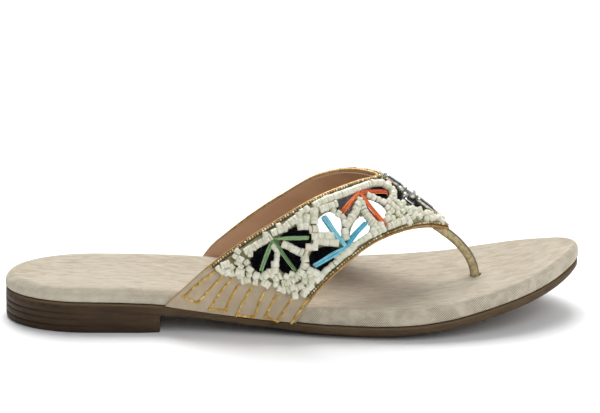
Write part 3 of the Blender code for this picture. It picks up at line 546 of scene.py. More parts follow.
inset, (linerTop, linerUnder) = strap["leatherIn"], strap["liningIn"]
leather = sheetPiece("strapLeather", strapGrid(lambda u: 0.0, inset), strapGrid(leatherAt, inset), taupe)
onFrame(leather, "taupe_cloth", "upper")
linerGrid = strapGrid(lambda u: leatherAt(u) + strap["liningOff"], linerTop)
onFrame(sheetPiece("strapLining", linerGrid, strapGrid(wallAt, linerUnder), lining), "taupe_cloth")
print("strap and lining laid")


def pathObject(name, paths):
    # loose polylines as one mesh
    mesh = bpy.data.meshes.new(name)
    points, edges = [], []
    for path in paths:
        start = len(points)
        points += [toWorld(p) for p in path]
        edges += [(start + k, start + k + 1) for k in range(len(path) - 1)]
    mesh.from_pydata(points, edges, [])
    return meshObject(name, mesh)


def newTree(name, sockets):
    # a tree with named inputs, what adds a node to it, its inputs, and its paths as curves
    tree = bpy.data.node_groups.new(name, "GeometryNodeTree")
    add = partial(addNode, tree)
    tree.interface.new_socket("Geometry", in_out="OUTPUT", socket_type="NodeSocketGeometry")
    for socket, kind in {"Geometry": "Geometry", **sockets}.items():
        tree.interface.new_socket(socket, in_out="INPUT", socket_type="NodeSocket" + kind)
    given = add("NodeGroupInput")
    return tree, add, given, add("GeometryNodeMeshToCurve", {"Mesh": given["Geometry"]})[0]


def endTree(add, geometry, finish):
    real = add("GeometryNodeRealizeInstances", {0: geometry})[0]
    finished = add("GeometryNodeSetMaterial", {"Geometry": real, "Material": finish})[0]
    add("NodeGroupOutput", {0: finished})


def rowTree():
    # units set along every path at a spacing, each turned, sized and toned a little differently
    tree, add, given, curve = newTree("unitsAlongPaths", {
        "Unit": "Object", "Spacing": "Float", "Size spread": "Float", "Tilt": "Float", "Shift": "Float",
        "Seed": "Int", "Finish": "Material"})
    points = add("GeometryNodeCurveToPoints", {"Curve": curve, "Length": given["Spacing"]}, mode="LENGTH")

    def chanced(low, high, draw, kind="FLOAT"):
        # a random value between two, from its own draw on the seed
        seed = add("FunctionNodeIntegerMath", {0: given["Seed"], 1: draw})[0]
        first, taken = (0, 0) if kind == "FLOAT_VECTOR" else (2, 1)
        ends = {first: low, first + 1: high}
        return add("FunctionNodeRandomValue", {**ends, "Seed": seed}, data_type=kind)[taken]

    lowTilt, lowShift = (add("ShaderNodeMath", {0: given[name], 1: -1.0}, operation="MULTIPLY")[0]
                         for name in ("Tilt", "Shift"))
    small, large = (add("ShaderNodeMath", {0: 1.0, 1: given["Size spread"]}, operation=how)[0]
                    for how in ("SUBTRACT", "ADD"))
    aligned = add("FunctionNodeAlignRotationToVector", {"Vector": points["Tangent"]}, axis="Z")[0]
    tilts = [chanced(lowTilt, given["Tilt"], draw) for draw in (11, 12)] + [chanced(0.0, 2 * math.pi, 13)]
    tilts = add("ShaderNodeCombineXYZ", dict(enumerate(tilts)))[0]
    tilts = add("FunctionNodeEulerToRotation", {0: tilts})[0]
    turns = {"Rotation": aligned, "Rotate By": tilts}
    tilted = add("FunctionNodeRotateRotation", turns, rotation_space="LOCAL")[0]
    unit = add("GeometryNodeObjectInfo", {"Object": given["Unit"]})["Geometry"]
    shifts = [chanced(lowShift, given["Shift"], draw) for draw in (20, 21, 22)]
    shifts = add("ShaderNodeCombineXYZ", dict(enumerate(shifts)))[0]
    moved = add("GeometryNodeSetPosition", {"Geometry": points["Points"], "Offset": shifts})[0]
    size = chanced(small, large, 14, "FLOAT_VECTOR")
    placed = add("GeometryNodeInstanceOnPoints", {"Points": moved, "Instance": unit, "Rotation": tilted,
                                                  "Scale": size})[0]
    toned = add("GeometryNodeStoreNamedAttribute", {"Name": "tone", "Geometry": placed,
                                                    "Value": chanced(0.0, 1.0, 15)},
                data_type="FLOAT", domain="INSTANCE")[0]
    endTree(add, toned, given["Finish"])
    return tree


def tubeTree():
    # a round tube along every path, each with its own tone
    tree, add, given, curve = newTree("tubesAlongPaths", {
        "Radius": "Float", "Sides": "Int", "Step": "Float", "Seed": "Int", "Finish": "Material"})
    even = add("GeometryNodeResampleCurve", {"Curve": curve, "Length": given["Step"]}, mode="LENGTH")[0]
    tone = add("FunctionNodeRandomValue", {"Seed": given["Seed"]}, data_type="FLOAT")[1]
    toned = add("GeometryNodeStoreNamedAttribute", {"Name": "tone", "Geometry": even, "Value": tone},
                data_type="FLOAT", domain="CURVE")[0]
    sizes = {"Resolution": given["Sides"], "Radius": given["Radius"]}
    ring = add("GeometryNodeCurvePrimitiveCircle", sizes)[0]
    tube = add("GeometryNodeCurveToMesh", {"Fill Caps": True, "Curve": toned, "Profile Curve": ring})[0]
    smooth = add("GeometryNodeSetShadeSmooth", {"Geometry": tube})[0]
    endTree(add, smooth, given["Finish"])
    return tree


unitRows, tubes = rowTree(), tubeTree()


def builtPiece(name, paths, tree, values):
    # what a tree makes along the paths
    piece = pathObject(name, paths)
    modifier = piece.modifiers.new("build", "NODES")
    modifier.node_group = tree
    for item in tree.interface.items_tree:
        if item.in_out == "INPUT" and item.name in values:
            modifier[item.identifier] = values[item.name]
    return applied(piece)


units = []


def roundOutline(radius, count, p=0.0, q=0.0):
    return [(p + radius * math.cos(a), q + radius * math.sin(a))
            for a in (2 * math.pi * k / count for k in range(count))]


def newUnit(name, profile, sides):
    # a turned shape about Z to be repeated: profile is (radius, height) from bottom to top in mm
    unit = ringPiece(name, [[(x, y, high * mm) for x, y in roundOutline(radius * mm, sides)]
                            for radius, high in profile], 50)
    unit.hide_render = True
    units.append(unit)
    return unit


def unitPiece(name, paths, unit, look, finish):
    # units set along the paths as their look says
    return builtPiece(name, paths, unitRows, {
        "Unit": unit, "Spacing": look["pitch"] * mm, "Size spread": look["spread"], "Tilt": look["tilt"],
        "Shift": look["shift"] * mm, "Seed": look["seed"], "Finish": finish})


# edge bindings and their bead chains, in mm, but start, foilAhead, crestAt and crestWide in places along
edges = {"rear": {"shown": 0.75, "band": 1.75, "start": 0.106, "inset": 1.4, "crest": 0.4},
         "front": {"shown": 0.7, "band": 1.6, "start": 0.064, "inset": 1.45, "crest": 0.0}}
bindingLook = {"under": 0.1, "top": 0.3, "overLining": 0.75, "deepest": 0.9, "foilAhead": 0.008}
bedLook = {"low": -0.3, "high": 0.6}
chainLook = {"pitch": 1.3, "lift": 0.85, "crestAt": 0.64, "crestWide": 0.14, "spread": 0.12, "tilt": 0.2,
             "shift": 0.05, "seed": 3,
             "bead": [(0.15, -0.5), (0.42, -0.34), (0.54, 0.0), (0.42, 0.34), (0.15, 0.5)]}
edgeSteps, edgeSides = 150, 12


def alongEdge(start):
    return [start + (1 - 2 * start) * i / edgeSteps for i in range(edgeSteps + 1)]


def chainLift(u, crest):
    # the chain stands a little prouder over the crest of the inner wing
    near = max(0.0, 1 - abs(u - chainLook["crestAt"]) / chainLook["crestWide"])
    return chainLook["lift"] + crest * near * near * (3 - 2 * near)


def edgeStrip(name, edge, inset, halfWide, heights, start, finish, bareTo=0.0):
    # a rounded strip along one edge, bare of its foil near both ends
    rings = []
    for u in alongEdge(start):
        point, along, _, normal = frameAt(u, edgeV(u, inset, edge))
        sideways = np.cross(normal, along / np.linalg.norm(along))
        low, high = heights(u)
        middle, half = (low + high) / 2, (high - low) / 2
        rings.append([toWorld(point + sideways * c * halfWide + normal * (middle + s * half))
                      for c, s in roundOutline(1.0, edgeSides)])
    bare = [float(min(u, 1 - u) < bareTo) for u in alongEdge(start) for _ in range(edgeSides)]
    return markPoints(ringPiece(name, rings, 180, finish), "edge", bare)     # smooth all over


def bindingHeights(u):
    return max(-bindingLook["deepest"], bindingLook["overLining"] - wallAt(u)), bindingLook["top"]


chainBead = newUnit("chainBeadUnit", chainLook["bead"], 8)
for edge, sizes in edges.items():
    half = sizes["shown"] / 2
    binding = edgeStrip(f"{edge}Binding", edge, half, half + bindingLook["under"], bindingHeights, 0.0,
                        pipingFinish, sizes["start"] - bindingLook["foilAhead"])
    onFrame(binding, "gold_leather", "piping_" + edge)
    half = sizes["band"] / 2
    onFrame(edgeStrip(f"{edge}ChainBed", edge, sizes["shown"] + half, half,
                      lambda u: (bedLook["low"], bedLook["high"]), sizes["start"], braid),
            "gold_chain", "chain_" + edge)
    line = [place(u, edgeV(u, sizes["inset"], edge), chainLift(u, sizes["crest"]))
            for u in alongEdge(sizes["start"])]
    onFrame(unitPiece(f"{edge}Chain", [line], chainBead, chainLook, brass), "gold_chain")
print("edges bound")

# leaf mirrors and raffia strands. Petals: name, the mirror's turn, start, length, width and glass,
# then the strand's turn and reach
motifs = {
    "green": {
        "at": 0.207, "atInner": 0.815, "across": 0.222, "strand": 1.4, "widen": 1.14, "petals": [
            ("top", 30.0, 1.6, 14.8, 8.8, "smoke", 32.0, 15.6),
            ("low", 156.2, 1.8, 14.0, 8.8, "smoke", 153.0, 15.0),
            ("mid", 93.0, 2.0, 14.0, 9.8, "smoke", 94.7, 15.2)]},
    "blue": {
        "at": 0.227, "atInner": 0.792, "across": 0.836, "strand": 1.8, "widen": 1.3, "petals": [
            ("top", -91.1, 3.4, 16.0, 8.6, "silver", -92.6, 18.4),
            ("low", -171.0, 1.8, 15.4, 8.8, "smoke", -171.4, 16.0),
            ("mid", -15.0, 2.2, 16.2, 8.6, "silver", -19.0, 15.2)]},
    "orange": {
        "at": 0.396, "atInner": 0.593, "across": 0.254, "strand": 1.6, "widen": 1.3, "petals": [
            ("low", 163.7, 1.6, 12.1, 6.7, "grey", 160.0, 12.9),
            ("mid", 72.0, 3.0, 12.2, 7.2, "silver", 82.0, 15.4),
            ("top", 13.9, 3.4, 12.0, 5.6, "grey", 15.5, 14.4)]},
}
innerScale = 0.93
mirrorLook = {"low": 0.25, "shoulder": 0.7, "high": 0.95, "bevel": 0.45, "covered": 0.12, "points": 28,
              "swell": 0.77, "sharpFrom": 24}


def turned(points, angle):
    c, s = math.cos(math.radians(angle)), math.sin(math.radians(angle))
    return [(p * c - q * s, p * s + q * c) for p, q in points]


def wings(motif):
    return [("outer", 1.0, lambda a: a, Spot(motif["at"], motif["across"])),
            ("inner", innerScale, lambda a: 180 - a, Spot(motif["atInner"], motif["across"]))]


def leaf(near, length, width, angle, scale, shrink=0.0):
    points = []
    for k in range(mirrorLook["points"]):
        t = 2 * math.pi * k / mirrorLook["points"]
        swollen = math.sin(t) * math.sin(t / 2) / mirrorLook["swell"]
        points.append(((near + length / 2 - (length / 2 - shrink) * math.cos(t)) * scale,
                       (width / 2 - shrink) * swollen * scale))
    return turned(points, angle)


def mirrorPiece(name, spot, levels, finish):
    # levels from the rim inward: an outline and its lift
    bm = bmesh.new()
    rings = [[toWorld(spot.bent(p, q, lift)) for p, q in points] for points, lift in levels]
    rings = addRings(bm, rings, capped=False)
    for ring in (rings[0], rings[-1]):
        middle = bm.verts.new(sum((v.co for v in ring), Vector()) / len(ring))
        for k in range(len(ring)):
            bm.faces.new((ring[k], ring[(k + 1) % len(ring)], middle))
    return smoothPiece(name, bm, mirrorLook["sharpFrom"], finish)


closed = []         # shapes in which no bead is strung: spot, outline
for motifName, motif in motifs.items():
    for wing, scale, facing, spot in wings(motif):
        for petalName, angle, near, length, width, kind, *_ in motif["petals"]:
            wide, turn = width * motif["widen"], facing(angle)
            rim = leaf(near, length, wide, turn, scale)
            table = leaf(near, length, wide, turn, scale, mirrorLook["bevel"])
            stoodFor = f"mirror_{motifName}_{petalName}_{wing}"
            levels = zip((rim, rim, table), (mirrorLook[high] for high in ("low", "shoulder", "high")))
            # each petal's glass tint is a painted reflection, dark or bright
            mirror = mirrorPiece(stoodFor + "_glass", spot, levels, glass[kind])
            onFrame(mirror, "silver_mirror" if kind == "silver" else "smoke_mirror", stoodFor)
            closed.append((spot, leaf(near, length, wide - width * mirrorLook["covered"], turn, scale)))
print("mirrors set")

raffiaLook = {"fibres": 5, "fibre": 0.23, "lift": 2.05, "wave": 0.12, "steps": 12, "before": 0.6,
              "uneven": (-0.25, 0.35), "gather": (0.6, 1.1), "crown": 0.25, "ripple": 0.1,
              "tuckedEnd": (0.07, 1.6), "tuckedKnot": (0.06, 1.2), "knot": 1.6, "sides": 6, "step": 1.1,
              "seed": 5}
chance = random.Random(7)


def strandFibres(spot, scale, turn, reach, width):
    # fibres side by side, gathered at the knot, waving a little, tucked down at both ends
    look = raffiaLook
    endPart, endDeep = look["tuckedEnd"]
    knotPart, knotDeep = look["tuckedKnot"]
    fibresMade = []
    for f in range(look["fibres"]):
        over = f / (look["fibres"] - 1) - 0.5
        side = over * (width - look["fibre"])
        phase, wave = chance.uniform(0, 6.28), chance.uniform(0.5, 1.0) * look["wave"]
        whole = reach + look["before"] + chance.uniform(*look["uneven"])
        points, lifts = [], []
        for i in range(look["steps"] + 1):
            t = i / look["steps"]
            gather = look["gather"][0] + (look["gather"][1] - look["gather"][0]) * min(1.0, 3 * t)
            points.append(((whole * t - look["before"]) * scale,
                           (side * gather + wave * math.sin(phase + 7 * t)) * scale))
            sink = (endDeep * max(0.0, t - 1 + endPart) / endPart
                    + knotDeep * max(0.0, knotPart - t) / knotPart)
            lifts.append(look["lift"] + look["crown"] * math.cos(math.pi * over)
                         + look["ripple"] * math.sin(phase + 9 * t) - sink)
        fibresMade.append([spot.bent(p, q, lift) for (p, q), lift in zip(turned(points, turn), lifts)])
    return fibresMade


for motifName, motif in motifs.items():
    for wing, scale, facing, spot in wings(motif):
        paths = []
        for *_, angle, reach in motif["petals"]:
            paths += strandFibres(spot, scale, facing(angle), reach, motif["strand"])
            half, far = motif["strand"] / 2, reach * scale
            closed.append((spot, turned([(0, -half), (far, -half), (far, half), (0, half)], facing(angle))))
        strands = builtPiece(f"raffia_{motifName}_{wing}_strands", paths, tubes, {
            "Radius": raffiaLook["fibre"] * mm, "Sides": raffiaLook["sides"], "Step": raffiaLook["step"] * mm,
            "Seed": raffiaLook["seed"], "Finish": fibres[motifName]})
        onFrame(strands, "raffia_" + motifName, f"raffia_{motifName}_{wing}")
        closed.append((spot, roundOutline(raffiaLook["knot"], 8)))
print("raffia laid")

# the jewels on the ridge. Plate: place across the strap and half its reach along it. Stones: name,
# place along from the ridge, place across, width, length unless round, glass
jewels = {
    "plate": [(0.085, 0.009), (0.185, 0.015), (0.260, 0.019), (0.380, 0.034),
              (0.500, 0.058), (0.665, 0.061), (0.730, 0.028), (0.800, 0.012)],
    "plateLow": 0.2, "plateHigh": 0.9, "plateCrown": 0.25, "low": 1.2, "least": 0.5, "tall": 0.28,
    "roundCut": {"girdle": -0.1, "shoulder": 0.35, "insets": (0.12, 0.24)},     # insets by width
    "barCut": {"girdle": -0.2, "shoulder": 0.45, "insets": (0.7, 0.95)},
    "rim": 0.3, "rimLow": 0.4, "rimSlope": 0.1, "rimHold": 0.05, "rimBack": (0.02, 0.5),
    "claw": 0.34, "clawTip": 0.5, "clawLean": (0.84, 0.88),
    "stones": [
        ("centre", 0.000, 0.440, 5.8, None, "clear"), ("baguette_rear", 0.000, 0.198, 3.2, 8.6, "dark"),
        ("baguette_front", 0.000, 0.635, 3.4, 9.0, "dark"), ("bar_outer", -0.047, 0.590, 2.6, 5.6, "dark"),
        ("bar_inner", 0.045, 0.590, 2.6, 5.6, "dark"),
        ("round_outer_rear", -0.016, 0.325, 2.4, None, "clear"),
        ("round_inner_rear", 0.016, 0.325, 2.4, None, "clear"),
        ("round_outer", -0.028, 0.440, 2.2, None, "clear"), ("round_inner", 0.026, 0.435, 2.2, None, "clear"),
        ("end", 0.000, 0.765, 1.8, None, "rose")],
}
plateGrids = [[[place(0.5 + side * half, across, lift + crown * (1 - abs(side)))
                for side in (-1, -0.6, -0.2, 0.2, 0.6, 1)] for across, half in jewels["plate"]]
              for lift, crown in ((jewels["plateHigh"], jewels["plateCrown"]), (jewels["plateLow"], 0.0))]
onFrame(sheetPiece("settingPlate", *plateGrids, gun), "dark_metal", "jewel_setting")


def stoneOutline(width, length, shrink):
    # round, or a bar with cut corners
    if length is None:
        return roundOutline(width / 2 - shrink, 12 if width > 3 else 8)
    p, q, c = width / 2 - shrink, length / 2 - shrink, max(0.1, 0.5 - shrink * 0.4)
    quarter = [(p, q - c), (p - c, q)]
    half = quarter + [(-a, b) for a, b in reversed(quarter)]
    return half + [(-a, -b) for a, b in half]


def cutStack(bm, spot, lean, levels):
    # levels from below: an outline and its lift
    addRings(bm, [[toWorld(spot.flat(p, q, lift)) for p, q in turned(points, lean)]
                  for points, lift in levels])


claws = bmesh.new()
for name, off, across, width, length, tint in jewels["stones"]:
    spot = Spot(0.5 + off, across)
    fold = frameAt(spot.u, spot.v)[2]
    lean = math.degrees(math.atan2(fold @ spot.q, fold @ spot.p)) - 90
    low = jewels["low"]
    high = low + jewels["least"] + jewels["tall"] * width
    mid = (low + high) / 2
    cut = jewels["barCut" if length else "roundCut"]
    shrinks = [0.0, 0.0] + [inset * (1 if length else width) for inset in cut["insets"]]
    lifts = (low, mid + cut["girdle"], mid + cut["shoulder"], high)
    bm = bmesh.new()
    cutStack(bm, spot, lean, zip((stoneOutline(width, length, shrink) for shrink in shrinks), lifts))
    # painted reflections: on a bar the lower facets and the table take the dark glass, the upper facets the
    # clear
    if length:
        faces = list(bm.faces)       # wall, dark facets, bright facets, back and dark table
        sides = (len(faces) - 2) // 3
        for dark in faces[sides:2 * sides] + faces[-1:]:
            dark.material_index = 1
    glasses = [gems["clear"], gems["dark"]] if length else [gems[tint]]
    onFrame(smoothPiece(f"stone_{name}_cut", bm, 5, *glasses), "crystal", "stone_" + name)
    inset, back = jewels["rimBack"]
    shrinks = (-jewels["rim"], -jewels["rim"], -jewels["rimHold"], inset)
    lifts = (jewels["rimLow"], mid - jewels["rimSlope"], mid, back)
    cutStack(claws, spot, lean, zip((stoneOutline(width, length, shrink) for shrink in shrinks), lifts))
    rim = stoneOutline(width, length, -jewels["rim"])
    for p, q in rim[::2] if length else rim[::3]:
        claw = roundOutline(jewels["claw"], 6, p, q)
        tip = [(a * jewels["clawLean"][0], b * jewels["clawLean"][1]) for a, b in claw]
        cutStack(claws, spot, lean, [(claw, jewels["rimLow"]), (claw, mid), (tip, mid + jewels["clawTip"])])
onFrame(smoothPiece("stoneClaws", claws, 40, plated), "dark_metal")
print("jewels set")

beadKinds = {       # turned shapes in mm, bead pitch along the string, how unevenly they sit
    "tube": {"radius": 1.75, "thick": 1.4, "bevel": 0.16, "tilt": 0.05, "spread": 0.03},
    "coin": {"radius": 1.8, "thick": 1.05, "bevel": 0.22, "tilt": 0.12, "spread": 0.07},
    "disc": {"radius": 1.75, "thick": 1.4, "bevel": 0.26, "tilt": 0.12, "spread": 0.07},
    "barrel": {"radius": 1.8, "thick": 2.7, "bevel": 0.4, "tilt": 0.15, "spread": 0.08},
    "rice": {"radius": 1.4, "thick": 2.3, "bevel": 0.35, "tilt": 0.22, "spread": 0.1},
}
beadLook = {"lift": 1.2, "rear": 4.1, "front": 3.85, "shift": 0.12, "sides": 14, "seed": 21,
            "innerFrom": 0.535, "slack": 1.003, "shortest": 0.05}
beadRuns = [       # on the outer wing, and repeated on the inner one
    # beside the rear chain
    ("coin", [(0.16, 0.14), (0.211, 0.175)]), ("disc", [(0.223, 0.145), (0.241, 0.18)]),
    ("disc", [(0.246, 0.17), (0.27, 0.155)]),
    # upright runs left of the blue leaf
    ("barrel", [(0.284, 0.135), (0.26, 0.255)]), ("disc", [(0.287, 0.205), (0.256, 0.325)]),
    ("disc", [(0.308, 0.19), (0.275, 0.335)]), ("barrel", [(0.303, 0.125), (0.301, 0.19)]),
    ("disc", [(0.251, 0.395), (0.258, 0.435)]),
    # two abreast, right of the green leaf
    ("tube", [(0.235, 0.485), (0.25, 0.625)]), ("tube", [(0.224, 0.545), (0.233, 0.74)]),
    # between the green leaves
    ("tube", [(0.199, 0.345), (0.187, 0.54)]), ("disc", [(0.189, 0.56), (0.187, 0.6)]),
    ("barrel", [(0.205, 0.56), (0.209, 0.605)]), ("rice", [(0.188, 0.295), (0.18, 0.355)]),
    ("rice", [(0.169, 0.395), (0.152, 0.45)]), ("barrel", [(0.143, 0.47), (0.129, 0.515)]),
    ("coin", [(0.178, 0.617), (0.161, 0.684), (0.142, 0.721), (0.121, 0.738), (0.106, 0.723), (0.098, 0.68)]),
    ("disc", [(0.084, 0.685), (0.079, 0.76), (0.095, 0.785)]), ("disc", [(0.09, 0.815), (0.103, 0.84)]),
    ("barrel", [(0.067, 0.855), (0.075, 0.92)]), ("barrel", [(0.087, 0.9), (0.103, 0.955)]),
    ("barrel", [(0.115, 0.825), (0.122, 0.935)]), ("barrel", [(0.144, 0.78), (0.137, 0.895)]),
    # the long tube
    ("tube", [(0.319, 0.125), (0.351, 0.145), (0.382, 0.17), (0.435, 0.165)]),
    ("disc", [(0.444, 0.165), (0.462, 0.185)]),
    ("disc", [(0.459, 0.23), (0.462, 0.29), (0.458, 0.365), (0.442, 0.455)]),
    ("tube", [(0.313, 0.23), (0.34, 0.27)]), ("rice", [(0.319, 0.34), (0.309, 0.485), (0.294, 0.565)]),
    ("coin", [(0.283, 0.615), (0.327, 0.528), (0.364, 0.408)]), ("barrel", [(0.269, 0.665), (0.253, 0.74)]),
    # discs between blue and orange
    ("coin", [(0.354, 0.504), (0.311, 0.826)]), ("rice", [(0.401, 0.34), (0.402, 0.47)]),
    ("rice", [(0.413, 0.53), (0.404, 0.68), (0.386, 0.77)]), ("disc", [(0.336, 0.87), (0.379, 0.865)]),
    # beside the front chain
    ("barrel", [(0.192, 0.885), (0.209, 0.885), (0.232, 0.9)]), ("rice", [(0.243, 0.88), (0.275, 0.89)]),
    ("barrel", [(0.3, 0.835), (0.297, 0.9)]), ("rice", [(0.182, 0.92), (0.154, 0.925)]),
    ("rice", [(0.151, 0.925), (0.133, 0.915)]), ("disc", [(0.304, 0.885), (0.322, 0.875)]),
]
# what the runs leave is filled with short pieces laid every way, in passes of smaller and smaller beads:
# beads to a piece, room it keeps from other beads and from leaves, and how many ways it is tried
beadFill = {
    "columns": 170, "rows": 34, "from": (0.06, 0.03), "span": (0.88, 0.94), "slant": 0.85, "reach": 24,
    "behindPlate": (0.035, 0.2), "byJewels": (0.14, 0.3), "byJewelsRoom": 0.15,
    "besidePlate": 0.01, "slack": 1.01, "shortest": 0.05,
    "passes": [
        {"kind": "disc", "beads": 3, "room": 3.3, "leaf": 1.6, "turns": 6},
        {"kind": "disc", "beads": 2, "room": 3.2, "leaf": 1.5, "turns": 6},
        {"kind": "barrel", "beads": 1, "room": 3.0, "leaf": 1.4, "turns": 4},
        {"kind": "rice", "beads": 2, "room": 2.6, "leaf": 1.2, "turns": 6},
        {"kind": "rice", "beads": 1, "room": 2.35, "leaf": 1.0, "turns": 4},
        {"kind": "rice", "beads": 1, "room": 1.95, "leaf": 0.8, "turns": 3},
    ],
}
chance = random.Random(11)


def innerU(u):
    return 1 - (0.185 + (u - 0.207) * 1.175)    # the same run on the shorter inner wing


def settled(run, pitch):
    # a fine polyline held off the two chains, as long as a whole number of beads
    path = [(a[0] + (b[0] - a[0]) * t, a[1] + (b[1] - a[1]) * t)
            for a, b in zip(run, run[1:]) for t in np.linspace(0, 1, 9)[:-1]] + [run[-1]]
    line = [place(u, min(max(v, edgeV(u, beadLook["rear"], "rear")), edgeV(u, beadLook["front"], "front")),
                  beadLook["lift"]) for u, v in path]
    length = sum(np.linalg.norm(b - a) for a, b in zip(line, line[1:]))
    change = max(1, round(length / pitch)) * pitch * beadLook["slack"] - length
    step = line[-1] - line[-2]
    size = np.linalg.norm(step)
    line[-1] = line[-1] + step / size * max(change, beadLook["shortest"] - size)
    return line


def inside(outline, p, q, margin):
    # whether a place is in a closed outline or nearer to it than the margin
    hit = False
    for (p0, q0), (p1, q1) in zip(outline, outline[1:] + outline[:1]):
        if (q0 > q) != (q1 > q) and p < (p1 - p0) * (q - q0) / (q1 - q0) + p0:
            hit = not hit
        dp, dq = p1 - p0, q1 - q0
        t = max(0.0, min(1.0, ((p - p0) * dp + (q - q0) * dq) / max(1e-9, dp * dp + dq * dq)))
        if math.hypot(p0 + dp * t - p, q0 + dq * t - q) < margin:
            return True
    return hit


def blocked(point, margin):
    return any(np.linalg.norm(point - spot.point) < beadFill["reach"]
               and inside(outline, *spot.seen(point), margin) for spot, outline in closed)


def offPlate(u, v):
    # whether a place is clear of the setting and of the bare leather behind it
    across, halves = zip(*jewels["plate"])
    reach = np.interp(v, across, halves, left=0.0, right=0.0)
    bareU, bareV = beadFill["behindPlate"]
    over = reach > 0 and abs(u - 0.5) < reach + beadFill["besidePlate"]
    return not over and not (abs(u - 0.5) < bareU and v < bareV)


def fieldStart(v):
    return edges["rear"]["start"] + (edges["front"]["start"] - edges["rear"]["start"]) * v


strung = {kind: [] for kind in beadKinds}
held = np.zeros((0, 3))


def claim(line):
    global held
    held = np.vstack([held, line])


def crowded(point, room):
    return np.min(np.sum((held - point) ** 2, axis=1)) < room * room


for kind, run in beadRuns:
    mirrored = [(innerU(u), v) for u, v in run]
    onInner = min(u for u, _ in mirrored) > beadLook["innerFrom"]       # clear of the jewels
    for line in [run, mirrored] if onInner else [run]:
        strung[kind].append(settled(line, beadKinds[kind]["thick"]))
        claim(strung[kind][-1])


def fillSpots():
    spots = []
    (fromU, fromV), (spanU, spanV) = beadFill["from"], beadFill["span"]
    for i in range(beadFill["columns"]):
        for j in range(beadFill["rows"]):
            u = fromU + spanU * (i + chance.random()) / beadFill["columns"]
            v = fromV + spanV * (j + chance.random()) / beadFill["rows"]
            if fieldStart(v) < u < 1 - fieldStart(v) and offPlate(u, v):
                spot = Spot(u, v)
                width = np.linalg.norm(frontEdge(u) - rearEdge(u)) * beadFill["slant"]
                spot.onField = v * width >= beadLook["rear"] and (1 - v) * width >= beadLook["front"]
                spot.byJewels = abs(u - 0.5) < beadFill["byJewels"][0] and v > beadFill["byJewels"][1]
                spots.append(spot)
    return spots


fieldSpots = fillSpots()
for step in beadFill["passes"]:
    chance.shuffle(fieldSpots)
    kind, beads, margin = step["kind"], step["beads"], step["leaf"]
    half = max(beadFill["shortest"], (beads - 1) * beadKinds[kind]["thick"] / 2 * beadFill["slack"])
    for spot in fieldSpots:
        if not spot.onField or spot.byJewels and kind != "rice":
            continue
        room = step["room"] - beadFill["byJewelsRoom"] * spot.byJewels
        middle = spot.bent(0, 0, beadLook["lift"])
        if crowded(middle, room) or blocked(middle, margin):
            continue
        for _ in range(step["turns"]):
            a = chance.uniform(0, math.pi)
            ends = [spot.bent(s * math.cos(a), s * math.sin(a), beadLook["lift"]) for s in (-half, half)]
            if beads == 1 or not any(crowded(end, room) or blocked(end, margin) for end in ends):
                strung[kind].append(ends)
                claim([*ends, middle])
                break

for kind, look in beadKinds.items():
    r, h, b = look["radius"], look["thick"] / 2, look["bevel"]
    side = [(r - b, h), (r - b * 0.25, h - b * 0.3), (r, h - b)]
    unit = newUnit(kind + "Unit", [(radius, -high) for radius, high in side] + side[::-1], beadLook["sides"])
    look = {**beadLook, **look, "pitch": look["thick"]}
    beads = unitPiece(kind + "Beads", strung[kind], unit, look, shell)
    onFrame(beads, "cream_bead", *(["bead_field"] if kind == "disc" else []))
    print(kind, "rows", len(strung[kind]))

ground = {"rear": 2.6, "front": 2.1, "inset": 0.006, "top": 0.3, "under": -0.2, "columns": 120, "rows": 12}


def groundGrid(lift):
    grid = []
    for i in range(ground["columns"] + 1):
        row = []
        for j in range(ground["rows"] + 1):
            share = j / ground["rows"]
            start = fieldStart(share) + ground["inset"]
            u = start + (1 - 2 * start) * i / ground["columns"]
            low, high = edgeV(u, ground["rear"], "rear"), edgeV(u, ground["front"], "front")
            row.append(place(u, low + (high - low) * share, lift))
        grid.append(row)
    return grid


grids = (groundGrid(lift) for lift in (ground["top"], ground["under"]))
# a sheet under the beads whose dark colour is painted shade between them
onFrame(sheetPiece("beadGround", *grids, beadGapShadeCloth), "taupe_cloth")
print("beads strung")

# the meander stitched on the bare bases: its corners as places along and across the strap
stitches = {
    "pitch": 1.2, "lift": 0.22, "spread": 0.12, "tilt": 0.2, "shift": 0.1, "seed": 9,
    "stitch": [(0.28, -0.85), (0.45, -0.6), (0.5, -0.2), (0.5, 0.2), (0.45, 0.6), (0.28, 0.85)],
    "runs": [
        [(0.099, 0.09), (0.028, 0.063), (0.018, 0.201), (0.087, 0.193)],
        [(0.082, 0.275), (0.01, 0.32), (0.009, 0.438), (0.07, 0.374)],
        [(0.069, 0.488), (0.003, 0.542), (0.004, 0.671), (0.061, 0.61)],
        [(0.063, 0.716), (0.007, 0.75), (0.0, 0.857), (0.051, 0.852)],
        [(0.06, 0.97), (0.001, 0.969)]],
}
lines = []
for run in stitches["runs"]:
    for corners in (run, [(1 - u, v) for u, v in run]):
        for a, b in zip(corners, corners[1:]):
            lines.append([place(a[0] + (b[0] - a[0]) * t, a[1] + (b[1] - a[1]) * t, stitches["lift"])
                          for t in np.linspace(0, 1, 7)])
stitch = newUnit("stitchUnit", stitches["stitch"], 6)
onFrame(unitPiece("meanderStitches", lines, stitch, stitches, thread), "gold_leather")
for unit in units:
    bpy.data.objects.remove(unit)
print("stitches sewn")

post = {"deep": 2.05, "wide": 2.3, "sides": 16, "steps": 40, "square": 0.35, "thin": 0.55, "thinTo": 1.2,
        "seam": (4.0, 2.5),
        "path": [(190.8, 4.5, 38.9), (194.7, 4.5, 37.0), (198.5, 4.5, 34.3), (202.7, 4.2, 30.3),
                 (206.6, 3.5, 25.2), (208.8, 2.9, 19.6), (209.4, 2.6, 13.2), (209.5, 2.5, 8.0)]}


